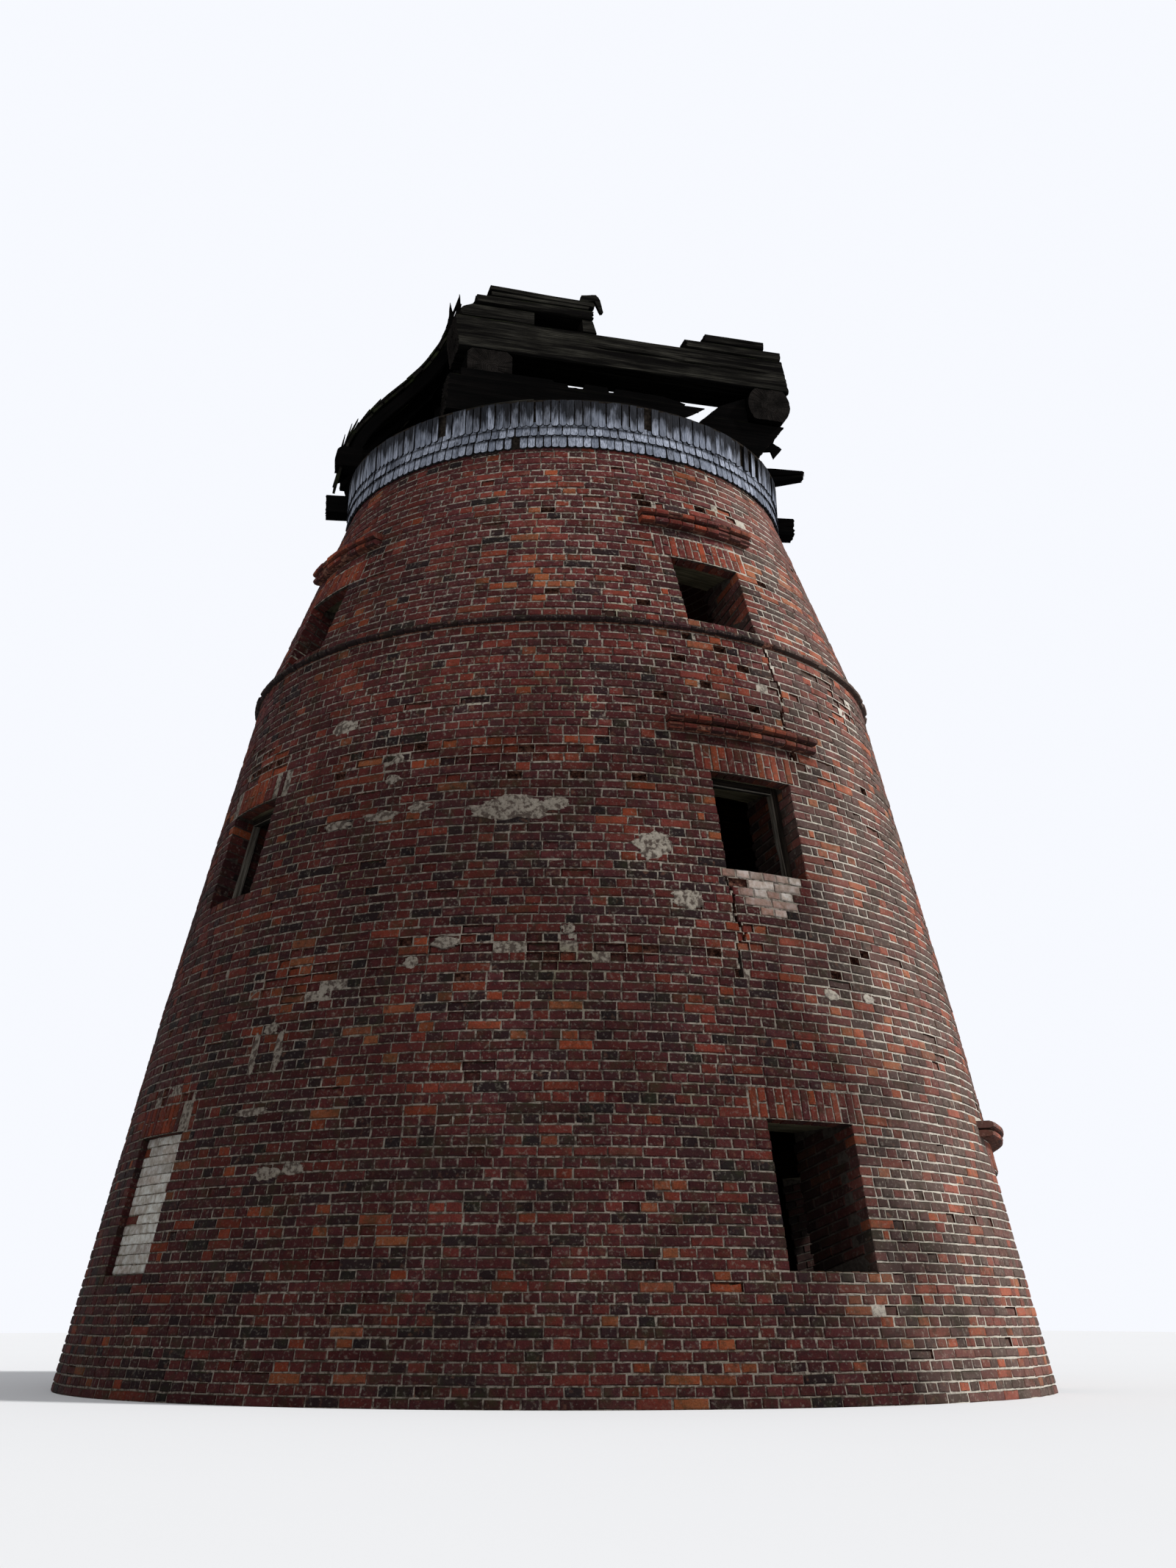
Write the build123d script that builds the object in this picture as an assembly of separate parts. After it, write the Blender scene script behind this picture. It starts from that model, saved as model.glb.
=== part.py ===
# Ruined brick tower mill, without sails: a battered round tower with three window storeys,
# a skirt of wooden shingles round its head, and the timber remains of the cap on top.
# Millimetres, +Z up. The origin is on the tower's axis at ground level.
# The front column of windows faces -Y. A turn is an angle about +Z, counted from -Y.
import math
import os

from build123d import *

# Brickwork
BRICK_LENGTH = 250
BRICK_WIDTH = 120
FACE_DEPTH = BRICK_WIDTH

# Outside profile of the tower
BASE_RADIUS = 4486
WAIST_RADIUS = 3757
STRING_RADIUS = 3044
HEAD_RADIUS = 2174
WAIST_LEVEL = 3350
STRING_LEVEL = 6361
HEAD_LEVEL = 8600

# Storeys: where each wall starts and how thick it is
MIDDLE_WALL_LEVEL = 3150
UPPER_WALL_LEVEL = 5550
GROUND_WALL = 770
MIDDLE_WALL = 640
UPPER_WALL = 510

# Columns of windows, and the doorway between two of them
WINDOW_TURNS = (0, 97, 180, 277)
BLOCKED_TURN = WINDOW_TURNS[3]
DOOR_TURN = 48.5

# Openings: width, sill and head of each row
GROUND_WINDOW = (800, 930, 2040)
MIDDLE_WINDOW = (800, 4090, 4970)
UPPER_WINDOW = (710, 6480, 7180)
DOORWAY = (1100, 0, 1850)
LINTEL_HEIGHT = BRICK_LENGTH
LINTEL_END_LENGTH = 130
INFILL_DEPTH = 250
INFILL_RECESS = 60

# Projecting courses
STRING_HEIGHT = 75
STRING_REACH = 45
HOOD_COURSE = 75
HOOD_ABOVE_LINTEL = 90
HOOD_ARC = 26
HOOD_UPPER_REACH = 115
HOOD_LOWER_REACH = 80
DOOR_HOOD_ARC = 24
DOOR_HOOD_REACH = 140

# Window frames that are left
FRAME_SECTION = 70
FRAME_SETBACK = 200
FRAME_GAP = 0.3

# Floors
PAVING_THICKNESS = 120
JOIST_WIDTH = 160
JOIST_HEIGHT = 160
JOIST_SPACING = 900
BOARD_THICKNESS = 40

# Shingle skirt and curb, from the head of the wall
SKIRT_BELOW_HEAD = 200
SKIRT_ABOVE_HEAD = 305
SKIRT_BOTTOM = HEAD_LEVEL - SKIRT_BELOW_HEAD
SKIRT_TOP = HEAD_LEVEL + SKIRT_ABOVE_HEAD
CURB_LIP = 75
CURB_TOP = SKIRT_TOP + CURB_LIP
CURB_OVERHANG = 30
CURB_WIDTH = 384
CURB_REBATE = 40
CURB_OUTER_RADIUS = HEAD_RADIUS + CURB_OVERHANG
CURB_INNER_RADIUS = CURB_OUTER_RADIUS - CURB_WIDTH
SKIRT_THICKNESS = 62
SKIRT_FLARE = 22
SKIRT_UPPER_RADIUS = CURB_OUTER_RADIUS + SKIRT_THICKNESS
SKIRT_LOWER_RADIUS = SKIRT_UPPER_RADIUS + SKIRT_FLARE
FIT = 0.3

# Cap remains, in the cap's own frame: front at -Y
CAP_TURN = -14
BOLSTER_HEIGHT = 415
BOLSTER_DEPTH = 340
FRONT_TIMBER_LEFT = -1600
FRONT_TIMBER_RIGHT = 810
FRONT_TIMBER_Y = -1420
FRONT_SPLINTER = 60
FRONT_SPLINTER_RISE = 260
FRONT_SPLINTER_LENGTH = 310
FRONT_SPLINTER_ROOT = 200
RIGHT_BOLSTER_LEFT = 1030
RIGHT_BOLSTER_RIGHT = 1680
RIGHT_BOLSTER_Y = -1260
RIGHT_BOLSTER_TOE = (300, 200)
RIGHT_BOLSTER_LEAN = 320
REAR_TIMBER_LEFT = -2430
REAR_TIMBER_RIGHT = 2795
REAR_TIMBER_Y = 740
REAR_TIMBER_TURN = -9
REAR_TIMBER_DEPTH = 220
REAR_STUB_LENGTH = 500
REAR_STUB_HEIGHT = 230
SHEER_RADIUS = 235
SHEER_FLAT = 180
LEFT_SHEER_X = -1140
RIGHT_SHEER_X = 1795
SHEER_FRONT = -1500
LEFT_SHEER_BACK = 1150
RIGHT_SHEER_BACK = 950
BREAST_HEIGHT = 365
BREAST_DEPTH = 500
BREAST_Y = -1230
BREAST_LOWER_ENDS = (-1455, 2035)
BREAST_UPPER_ENDS = (-1500, 1955)
BLOCK_HEIGHT = 160
BLOCK_DEPTH = 460
LEFT_BLOCK = (-1440, -684)
LEFT_BLOCK_CORNER = (150, 65)
RIGHT_BLOCK = (-179, -56)
COVER_PLANK = 100
COVER_DEPTH = 500
COVER_ENDS = (-1290, -60)
TILT_PLANK = 95
TILT_END_HEIGHT = 25
TILT_ENDS = (-1150, -50)
TOP_BOARD = 100
LOWER_TOP_BOARD = (880, 1955)
UPPER_TOP_BOARD = (1120, 1765)
BROKEN_BOARD_LENGTH = 1030
BROKEN_BOARD_WIDTH = 140
BROKEN_BOARD_HEIGHT = 185
BROKEN_TIP_HEIGHT = 80
BROKEN_TIP_RISE = 75
BROKEN_BOARD_OVERHANG = 340
BROKEN_BOARD_REACH = CURB_OUTER_RADIUS + BROKEN_BOARD_OVERHANG
BROKEN_BOARD_TURN = -14.5
BROKEN_BOARD_Y = -350

# Roof fragment on the left: the outer line of its side, from the eave up, in the cap's frame
# and above the curb
ROOF_ABOVE_CURB = ((-2440, 10), (-2290, 440), (-1850, 970), (-1390, 1660), (-1300, 1920), (-1205, 2185))
ROOF_LINE = tuple((x, CURB_TOP + z) for x, z in ROOF_ABOVE_CURB)
ROOF_THICKNESS = 70
ROOF_FRONT = -200
ROOF_BACK = 1500
ROOF_EAVE_BACK = 250
RAFTER_WIDTH = 110
RAFTER_DEPTH = 130
RAFTER_Y = (-140, 420, 1050)
FULL_RAFTERS = 2
SHORT_RAFTER_CUT = 920
SHORT_RAFTER_FOOT = CURB_TOP + SHORT_RAFTER_CUT
LOOKOUT_HEIGHT = 200
LOOKOUT_ENDS = (-2350, -1700)
TRESTLE_POST = 150
TRESTLE_X = -1215
TRESTLE_POST_Y = (-350, 900)
PURLIN_SECTION = 150
PURLIN_ABOVE_CURB = 1420
PURLIN_LOW = CURB_TOP + PURLIN_ABOVE_CURB
PURLIN_ENDS = (-430, 1150)


def outer_radius(z):
    """Outside radius of the brickwork at a height."""
    line = (
        (0, BASE_RADIUS),
        (WAIST_LEVEL, WAIST_RADIUS),
        (STRING_LEVEL, STRING_RADIUS),
        (HEAD_LEVEL, HEAD_RADIUS),
    )
    for (z_low, r_low), (z_high, r_high) in zip(line, line[1:]):
        if z <= z_high:
            return r_low + (r_high - r_low) * (z - z_low) / (z_high - z_low)
    return HEAD_RADIUS


def knees(low, high):
    """Heights between low and high where the batter changes, with both ends."""
    return [low] + [z for z in (WAIST_LEVEL, STRING_LEVEL) if low < z < high] + [high]


def face_ring(points):
    """Solid of revolution about the tower's axis from (radius, height) points."""
    outline = Polyline(*[(r, 0, z) for r, z in points], close=True)
    return revolve(make_face(outline), Axis.Z, 360)


def shell(low, high, depth_out, depth_in):
    """Ring between two depths behind the outside face, from one height to another."""
    levels = knees(low, high)
    outside = [(outer_radius(z) - depth_out, z) for z in levels]
    inside = [(outer_radius(z) - depth_in, z) for z in reversed(levels)]
    return face_ring(outside + inside)


def toward(turn, shape):
    """Turn a shape made on the -Y side round the axis."""
    return Rot(0, 0, turn) * shape


def radial_box(width, low, high):
    """Box through the whole -Y side of the tower."""
    reach = BASE_RADIUS + BRICK_LENGTH
    place = Location((0, -reach / 2, (low + high) / 2))
    return place * Box(width, reach, high - low)


def each(shapes):
    """Compound of separate solids."""
    solids = []
    for shape in shapes:
        solids += shape.solids()
    return Compound(children=solids)


def save(name, shape):
    export_step(shape, f"parts/{name}.step")


def storey(name, low, high, thickness, openings):
    """One storey of wall: piers between the openings, breasts under and heads over them."""
    ring = shell(low, high, 0, thickness)
    piers = ring
    breasts = []
    heads = []
    for turn, (width, sill, head) in openings:
        lintel_top = head + LINTEL_HEIGHT
        piers -= toward(turn, radial_box(width, low, high))
        piers -= toward(turn, radial_box(width + 2 * LINTEL_END_LENGTH, head, lintel_top))
        if sill > low:
            breasts.append(ring & toward(turn, radial_box(width, low, sill)))
        heads.append(ring & toward(turn, radial_box(width, lintel_top, high)))
    ordered = sorted(piers.solids(), key=lambda s: pier_angle(s))
    for number, pier in enumerate(ordered, 1):
        save(f"{name}_pier_{number}", pier)
    save(f"{name}_breasts", each(breasts))
    save(f"{name}_heads", each(heads))


def pier_angle(solid):
    """Turn of a pier's middle, from -Y."""
    centre = solid.center()
    return math.degrees(math.atan2(centre.X, -centre.Y)) % 360


def lintels(rows):
    """Upright bricks over each opening at the face, and timbers behind them."""
    bricks = []
    timbers = []
    for turn, (width, _, head), thickness in rows:
        top = head + LINTEL_HEIGHT
        slot = toward(turn, radial_box(width + 2 * LINTEL_END_LENGTH, head, top))
        bricks.append(shell(head, top, 0, FACE_DEPTH) & slot)
        timbers.append(shell(head, top, FACE_DEPTH, thickness) & slot)
    save("soldier_lintels", each(bricks))
    save("timber_lintels", each(timbers))


def projecting_course(bottom, height, reach):
    """Full ring of one rounded course that stands out of the face."""
    top = bottom + height
    nose = height / 2
    nose_radius = outer_radius(bottom) + reach
    wall = [(outer_radius(z), 0, z) for z in reversed(knees(bottom, top))]
    lower_edge = (nose_radius - nose, 0, bottom)
    upper_edge = (nose_radius - nose, 0, top)
    outline = Polyline(upper_edge, *wall, lower_edge)
    outline += ThreePointArc(lower_edge, (nose_radius, 0, bottom + nose), upper_edge)
    return revolve(make_face(outline), Axis.Z, 360)


def sector(arc, low, high):
    """Wedge on the -Y side that keeps an arc of a ring."""
    reach = 2 * BASE_RADIUS
    half = math.radians(arc / 2)
    side = reach * math.sin(half)
    outline = Polyline((0, 0), (-side, -reach * math.cos(half)), (side, -reach * math.cos(half)), close=True)
    return Location((0, 0, low)) * extrude(make_face(outline), high - low)


def string_course():
    middle = STRING_LEVEL
    save("string_course", projecting_course(middle - STRING_HEIGHT / 2, STRING_HEIGHT, STRING_REACH))


def hood(head, turn, arc, upper_reach, lower_reach):
    """Two rounded courses over an opening."""
    bottom = head + LINTEL_HEIGHT + HOOD_ABOVE_LINTEL
    lower = projecting_course(bottom, HOOD_COURSE, lower_reach)
    upper = projecting_course(bottom + HOOD_COURSE, HOOD_COURSE, upper_reach)
    keep = toward(turn, sector(arc, bottom - HOOD_COURSE, bottom + 3 * HOOD_COURSE))
    return (lower + upper) & keep


def hoods():
    """Hoods over the windows that keep theirs, and the deeper one over the doorway."""
    places = [(MIDDLE_WINDOW[2], turn) for turn in WINDOW_TURNS[:3]]
    places += [(UPPER_WINDOW[2], turn) for turn in WINDOW_TURNS]
    rows = [hood(head, turn, HOOD_ARC, HOOD_UPPER_REACH, HOOD_LOWER_REACH) for head, turn in places]
    door_head = DOORWAY[2] - HOOD_ABOVE_LINTEL
    rows.append(hood(door_head, DOOR_TURN, DOOR_HOOD_ARC, DOOR_HOOD_REACH, HOOD_UPPER_REACH))
    save("hood_moulds", each(rows))


def blocked_window():
    width, sill, head = GROUND_WINDOW
    infill = shell(sill, head, INFILL_RECESS, INFILL_RECESS + INFILL_DEPTH)
    save("blocked_window", infill & toward(BLOCKED_TURN, radial_box(width, sill, head)))


def window_frames():
    """Stiles and head rails that are left in the middle windows."""
    width, sill, head = MIDDLE_WINDOW
    stiles = []
    rails = []
    for turn in WINDOW_TURNS:
        back = -(outer_radius(sill) - FRAME_SETBACK)
        lean = math.degrees(math.atan2(outer_radius(sill) - outer_radius(head), head - sill))
        height = head - sill
        stile_x = width / 2 - FRAME_GAP - FRAME_SECTION / 2
        lower = Location((stile_x, back, sill)) * Rot(-lean, 0, 0)
        leaning = Box(FRAME_SECTION, FRAME_SECTION, 2 * height, align=(Align.CENTER, Align.MIN, Align.CENTER))
        stile = lower * leaning
        slab = Location((0, back, (sill + head) / 2)) * Box(width, 4 * BRICK_LENGTH, height - 2 * FRAME_GAP)
        stiles.append(toward(turn, stile & slab))
        rail_low = head - FRAME_GAP - FRAME_SECTION
        rail_y = -(outer_radius(rail_low) - FRAME_SETBACK)
        rail_length = width - 3 * FRAME_GAP - FRAME_SECTION
        rail = Location((-FRAME_SECTION / 2 - FRAME_GAP / 2, rail_y, rail_low)) * Box(
            rail_length, FRAME_SECTION, FRAME_SECTION, align=(Align.CENTER, Align.MIN, Align.MIN)
        )
        rails.append(toward(turn, rail))
    save("frame_stiles", each(stiles))
    save("frame_rails", each(rails))


def paving():
    radius = outer_radius(PAVING_THICKNESS) - GROUND_WALL - FIT
    slab = Cylinder(radius, PAVING_THICKNESS, align=(Align.CENTER, Align.CENTER, Align.MIN))
    save("ground_floor_paving", slab)


def floor(name, level, wall):
    """Joists that rest on the set-off of the wall below, with boards on them."""
    joist_top = level + JOIST_HEIGHT
    room = outer_radius(joist_top) - wall - FIT
    on_base = (Align.CENTER, Align.CENTER, Align.MIN)
    trim = Location((0, 0, level)) * Cylinder(room, JOIST_HEIGHT, align=on_base)
    count = 2 * round(room / JOIST_SPACING)
    joists = []
    for number in range(count):
        y = (number - (count - 1) / 2) * JOIST_SPACING
        joist = Location((0, y, level)) * Box(2 * room, JOIST_WIDTH, JOIST_HEIGHT, align=on_base)
        joists.append(joist & trim)
    save(f"{name}_joists", each(joists))
    board_radius = outer_radius(joist_top + BOARD_THICKNESS) - wall - FIT
    boards = Cylinder(board_radius, BOARD_THICKNESS, align=on_base)
    save(f"{name}_boards", Location((0, 0, joist_top)) * boards)


def skirt_and_curb():
    """Shingle skirt round the tower's head, and the timber curb ring behind it."""
    inner = CURB_OUTER_RADIUS + FIT
    slope = (STRING_RADIUS - HEAD_RADIUS) / (HEAD_LEVEL - STRING_LEVEL)
    meet = HEAD_LEVEL - (inner - HEAD_RADIUS) / slope
    skirt = face_ring(
        (
            (SKIRT_LOWER_RADIUS, SKIRT_BOTTOM),
            (SKIRT_UPPER_RADIUS, SKIRT_TOP),
            (inner, SKIRT_TOP),
            (inner, meet),
            (outer_radius(SKIRT_BOTTOM), SKIRT_BOTTOM),
        )
    )
    save("shingle_skirt", skirt)
    curb = face_ring(
        (
            (CURB_OUTER_RADIUS, HEAD_LEVEL),
            (CURB_OUTER_RADIUS, SKIRT_TOP),
            (CURB_OUTER_RADIUS - CURB_REBATE, SKIRT_TOP),
            (CURB_OUTER_RADIUS - CURB_REBATE, CURB_TOP),
            (CURB_INNER_RADIUS, CURB_TOP),
            (CURB_INNER_RADIUS, HEAD_LEVEL),
        )
    )
    save("curb_ring", curb)


def in_cap(shape):
    """From the cap's own frame to the tower's."""
    return Rot(0, 0, CAP_TURN) * shape


def bar(x_low, x_high, y_middle, depth, z_low, height):
    """Timber along X."""
    place = Location(((x_low + x_high) / 2, y_middle, z_low))
    return place * Box(x_high - x_low, depth, height, align=(Align.CENTER, Align.CENTER, Align.MIN))


def cut_bar(corners, y_middle, depth):
    """Timber along X whose side is an outline of (x, z) corners."""
    side = make_face(Polyline(*[(x, 0, z) for x, z in corners], close=True))
    return Location((0, y_middle - depth / 2, 0)) * extrude(side, depth, dir=(0, 1, 0))


def bolsters():
    """Timbers that lie across the curb and carry the sheers; the front one ends in a splinter."""
    top = CURB_TOP + BOLSTER_HEIGHT
    front = bar(FRONT_TIMBER_LEFT, FRONT_TIMBER_RIGHT, FRONT_TIMBER_Y, BOLSTER_DEPTH, CURB_TOP, BOLSTER_HEIGHT)
    splinter = (
        (FRONT_TIMBER_RIGHT - FRONT_SPLINTER_ROOT, CURB_TOP + FRONT_SPLINTER_RISE),
        (FRONT_TIMBER_RIGHT, CURB_TOP + FRONT_SPLINTER_RISE),
        (FRONT_TIMBER_RIGHT + FRONT_SPLINTER_LENGTH, top),
        (FRONT_TIMBER_RIGHT - FRONT_SPLINTER_ROOT, top),
    )
    front += cut_bar(splinter, FRONT_TIMBER_Y - (BOLSTER_DEPTH - FRONT_SPLINTER) / 2, FRONT_SPLINTER)
    toe_height, toe_length = RIGHT_BOLSTER_TOE
    right = (
        (RIGHT_BOLSTER_LEFT, CURB_TOP),
        (RIGHT_BOLSTER_RIGHT, CURB_TOP),
        (RIGHT_BOLSTER_RIGHT + RIGHT_BOLSTER_LEAN, top),
        (RIGHT_BOLSTER_LEFT + toe_length, top),
        (RIGHT_BOLSTER_LEFT, CURB_TOP + toe_height),
    )
    save("front_bolsters", each([in_cap(front), in_cap(cut_bar(right, RIGHT_BOLSTER_Y, BOLSTER_DEPTH))]))
    rear = bar(REAR_TIMBER_LEFT, REAR_TIMBER_RIGHT, 0, REAR_TIMBER_DEPTH, CURB_TOP, BOLSTER_HEIGHT)
    notch = BOLSTER_HEIGHT - REAR_STUB_HEIGHT
    for end, side in ((REAR_TIMBER_LEFT, 1), (REAR_TIMBER_RIGHT, -1)):
        x_far = end + side * REAR_STUB_LENGTH
        x_low, x_high = sorted((end - side * REAR_TIMBER_DEPTH, x_far))
        rear -= bar(x_low, x_high, 0, 2 * REAR_TIMBER_DEPTH, top - notch, 2 * notch)
    rear = Location((0, REAR_TIMBER_Y, 0)) * Rot(0, 0, REAR_TIMBER_TURN) * rear
    save("rear_bolster", in_cap(rear))


def sheer(x, y_front, y_back):
    """Hewn log along Y, flat on top and underneath."""
    centre_z = CURB_TOP + BOLSTER_HEIGHT + SHEER_FLAT
    middle = Location((x, (y_front + y_back) / 2, centre_z))
    log = middle * Rot(90, 0, 0) * Cylinder(SHEER_RADIUS, y_back - y_front)
    hewn = middle * Box(2 * SHEER_RADIUS, y_back - y_front, 2 * SHEER_FLAT)
    return log & hewn


def cap_frame():
    """Two sheers, the breast beam across them and what lies on it."""
    save("left_sheer", in_cap(sheer(LEFT_SHEER_X, SHEER_FRONT, LEFT_SHEER_BACK)))
    save("right_sheer", in_cap(sheer(RIGHT_SHEER_X, SHEER_FRONT, RIGHT_SHEER_BACK)))
    breast_low = CURB_TOP + BOLSTER_HEIGHT + 2 * SHEER_FLAT
    breast_top = breast_low + BREAST_HEIGHT
    breast = (
        (BREAST_LOWER_ENDS[0], breast_low),
        (BREAST_LOWER_ENDS[1], breast_low),
        (BREAST_UPPER_ENDS[1], breast_top),
        (BREAST_UPPER_ENDS[0], breast_top),
    )
    save("breast_beam", in_cap(cut_bar(breast, BREAST_Y, BREAST_DEPTH)))
    block_top = breast_top + BLOCK_HEIGHT
    left, right = LEFT_BLOCK
    corner, drop = LEFT_BLOCK_CORNER
    left_block = (
        (left, breast_top),
        (right, breast_top),
        (right, block_top),
        (left + corner, block_top),
        (left, block_top - drop),
    )
    blocks = [
        cut_bar(left_block, BREAST_Y, BLOCK_DEPTH),
        bar(*RIGHT_BLOCK, BREAST_Y, BLOCK_DEPTH, breast_top, BLOCK_HEIGHT),
    ]
    save("bearing_blocks", each([in_cap(block) for block in blocks]))
    cover_low = breast_top + BLOCK_HEIGHT
    cover = bar(*COVER_ENDS, BREAST_Y, COVER_DEPTH, cover_low, COVER_PLANK)
    save("bearing_cover", in_cap(cover + tilted_plank(cover_low + COVER_PLANK)))
    lower = bar(*LOWER_TOP_BOARD, BREAST_Y, BREAST_DEPTH, breast_top, TOP_BOARD)
    upper = bar(*UPPER_TOP_BOARD, BREAST_Y, BREAST_DEPTH, breast_top + TOP_BOARD, TOP_BOARD)
    save("top_boards", in_cap(lower + upper))


def tilted_plank(z):
    """Plank on the cover that is thicker at its left end."""
    left, right = TILT_ENDS
    corners = ((right, z), (right, z + TILT_PLANK), (left, z + TILT_END_HEIGHT + TILT_PLANK), (left, z))
    return cut_bar(corners, BREAST_Y, COVER_DEPTH)


def roof_shape(offset_low, offset_high, y_front, y_back):
    """Side of the roof between two depths under its outer line."""
    curve = Spline(*[(x, 0, z) for x, z in ROOF_LINE])
    outer = [curve @ (step / 12) for step in range(13)]
    normals = []
    for step in range(13):
        direction = curve % (step / 12)
        normals.append(Vector(direction.Z, 0, -direction.X))
    top = [point + normal * offset_low for point, normal in zip(outer, normals)]
    under = [point + normal * offset_high for point, normal in zip(outer, normals)]
    outline = Spline(*top) + Line(top[-1], under[-1]) + Spline(*reversed(under)) + Line(under[0], top[0])
    solid = extrude(make_face(outline), y_back - y_front, dir=(0, 1, 0))
    return Location((0, y_front, 0)) * solid


def roof():
    """Torn piece of the roof's left side, with its rafters and the trestle under it."""
    rise = ROOF_LINE[-1][1] - ROOF_LINE[0][1]
    torn = Polyline(
        (0, ROOF_EAVE_BACK, ROOF_LINE[0][1] - PURLIN_SECTION),
        (0, ROOF_BACK, ROOF_LINE[0][1] + rise / 2),
        (0, ROOF_BACK - RAFTER_Y[1], ROOF_LINE[-1][1] + PURLIN_SECTION),
        (0, 3 * ROOF_BACK, ROOF_LINE[-1][1] + PURLIN_SECTION),
        (0, 3 * ROOF_BACK, ROOF_LINE[0][1] - PURLIN_SECTION),
        close=True,
    )
    across = -4 * ROOF_LINE[0][0]
    cut = Location((-across / 2, 0, 0)) * extrude(make_face(torn), across, dir=(1, 0, 0))
    skin = roof_shape(0, ROOF_THICKNESS, ROOF_FRONT, ROOF_BACK) - cut
    save("roof_fragment", in_cap(skin))
    lookout_top = CURB_TOP + LOOKOUT_HEIGHT
    rafters = []
    for number, y in enumerate(RAFTER_Y):
        half = RAFTER_WIDTH / 2
        rafter = roof_shape(ROOF_THICKNESS, ROOF_THICKNESS + RAFTER_DEPTH, y - half, y + half)
        foot = lookout_top if number < FULL_RAFTERS else SHORT_RAFTER_FOOT
        rafter -= bar(2 * ROOF_LINE[0][0], 0, y, 2 * RAFTER_WIDTH, foot - ROOF_BACK, ROOF_BACK)
        if number < FULL_RAFTERS:
            lookout = bar(*LOOKOUT_ENDS, y, RAFTER_WIDTH, CURB_TOP, LOOKOUT_HEIGHT)
            rafter += lookout - roof_shape(-ROOF_THICKNESS, ROOF_THICKNESS, ROOF_FRONT, ROOF_BACK)
        rafters.append(rafter)
    save("roof_rafters", each([in_cap(rafter) for rafter in rafters]))
    save("roof_trestle", in_cap(trestle(rafters)))


def trestle(rafters):
    """Posts on the left sheer with a purlin that is notched for the rafters."""
    y_low, y_high = PURLIN_ENDS
    frame = bar(
        TRESTLE_X - PURLIN_SECTION / 2,
        TRESTLE_X + PURLIN_SECTION / 2,
        (y_low + y_high) / 2,
        y_high - y_low,
        PURLIN_LOW,
        PURLIN_SECTION,
    )
    sheer_top = CURB_TOP + BOLSTER_HEIGHT + 2 * SHEER_FLAT
    for y in TRESTLE_POST_Y:
        post = bar(
            TRESTLE_X - TRESTLE_POST / 2,
            TRESTLE_X + TRESTLE_POST / 2,
            y,
            TRESTLE_POST,
            sheer_top,
            PURLIN_LOW - sheer_top,
        )
        frame += post
    for rafter in rafters:
        frame -= rafter
    return frame


def broken_board():
    """Torn timber on the right of the curb, tapered where it juts out."""
    back = BROKEN_BOARD_REACH - BROKEN_BOARD_LENGTH
    tip = CURB_TOP + BROKEN_TIP_RISE
    corners = (
        (back, CURB_TOP),
        (CURB_OUTER_RADIUS, CURB_TOP),
        (BROKEN_BOARD_REACH, tip),
        (BROKEN_BOARD_REACH, tip + BROKEN_TIP_HEIGHT),
        (CURB_OUTER_RADIUS, CURB_TOP + BROKEN_BOARD_HEIGHT),
        (back, CURB_TOP + BROKEN_BOARD_HEIGHT),
    )
    board = cut_bar(corners, BROKEN_BOARD_Y, BROKEN_BOARD_WIDTH)
    save("broken_board", in_cap(Rot(0, 0, BROKEN_BOARD_TURN) * board))


os.makedirs("parts", exist_ok=True)
ground_openings = [(turn, GROUND_WINDOW) for turn in WINDOW_TURNS] + [(DOOR_TURN, DOORWAY)]
middle_openings = [(turn, MIDDLE_WINDOW) for turn in WINDOW_TURNS]
upper_openings = [(turn, UPPER_WINDOW) for turn in WINDOW_TURNS]
storey("ground", 0, MIDDLE_WALL_LEVEL, GROUND_WALL, ground_openings)
storey("middle", MIDDLE_WALL_LEVEL, UPPER_WALL_LEVEL, MIDDLE_WALL, middle_openings)
storey("upper", UPPER_WALL_LEVEL, HEAD_LEVEL, UPPER_WALL, upper_openings)
lintels(
    [(turn, opening, GROUND_WALL) for turn, opening in ground_openings]
    + [(turn, opening, MIDDLE_WALL) for turn, opening in middle_openings]
    + [(turn, opening, UPPER_WALL) for turn, opening in upper_openings]
)
string_course()
hoods()
blocked_window()
window_frames()
paving()
floor("first_floor", MIDDLE_WALL_LEVEL, MIDDLE_WALL)
floor("second_floor", UPPER_WALL_LEVEL, UPPER_WALL)
skirt_and_curb()
bolsters()
cap_frame()
roof()
broken_board()
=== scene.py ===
"""Ruined brick tower mill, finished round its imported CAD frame.

Metres, +Z up, in the frame of the part. A turn is an angle about +Z, counted from -Y, where the front
column of windows is. The walls, lintels and moulded courses are laid brick by brick, the skirt and the
torn roof are hung shingle by shingle, and the cap's timbers are hewn with checks and torn ends.
"""
import math
import random
from functools import cache, partial

import bmesh
import bpy
import numpy as np
from mathutils import Euler, Matrix, Vector, noise
from mathutils.bvhtree import BVHTree


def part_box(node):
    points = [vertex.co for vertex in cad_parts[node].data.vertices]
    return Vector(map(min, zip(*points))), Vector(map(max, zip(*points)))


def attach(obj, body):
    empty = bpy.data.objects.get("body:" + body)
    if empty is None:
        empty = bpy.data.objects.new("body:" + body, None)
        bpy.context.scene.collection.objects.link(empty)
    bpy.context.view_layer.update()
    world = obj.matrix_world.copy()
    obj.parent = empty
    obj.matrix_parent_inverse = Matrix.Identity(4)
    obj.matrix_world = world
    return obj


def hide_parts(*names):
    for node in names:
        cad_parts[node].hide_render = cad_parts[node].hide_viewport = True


bl_info = {
    "name": "Ruined tower mill",
    "version": (1, 0, 0),
    "blender": (4, 5, 0),
    "location": "3D View > Sidebar > Mill",
    "description": "Lays the brickwork, shingles and timbers of a ruined brick tower mill",
    "category": "Object",
}

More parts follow.
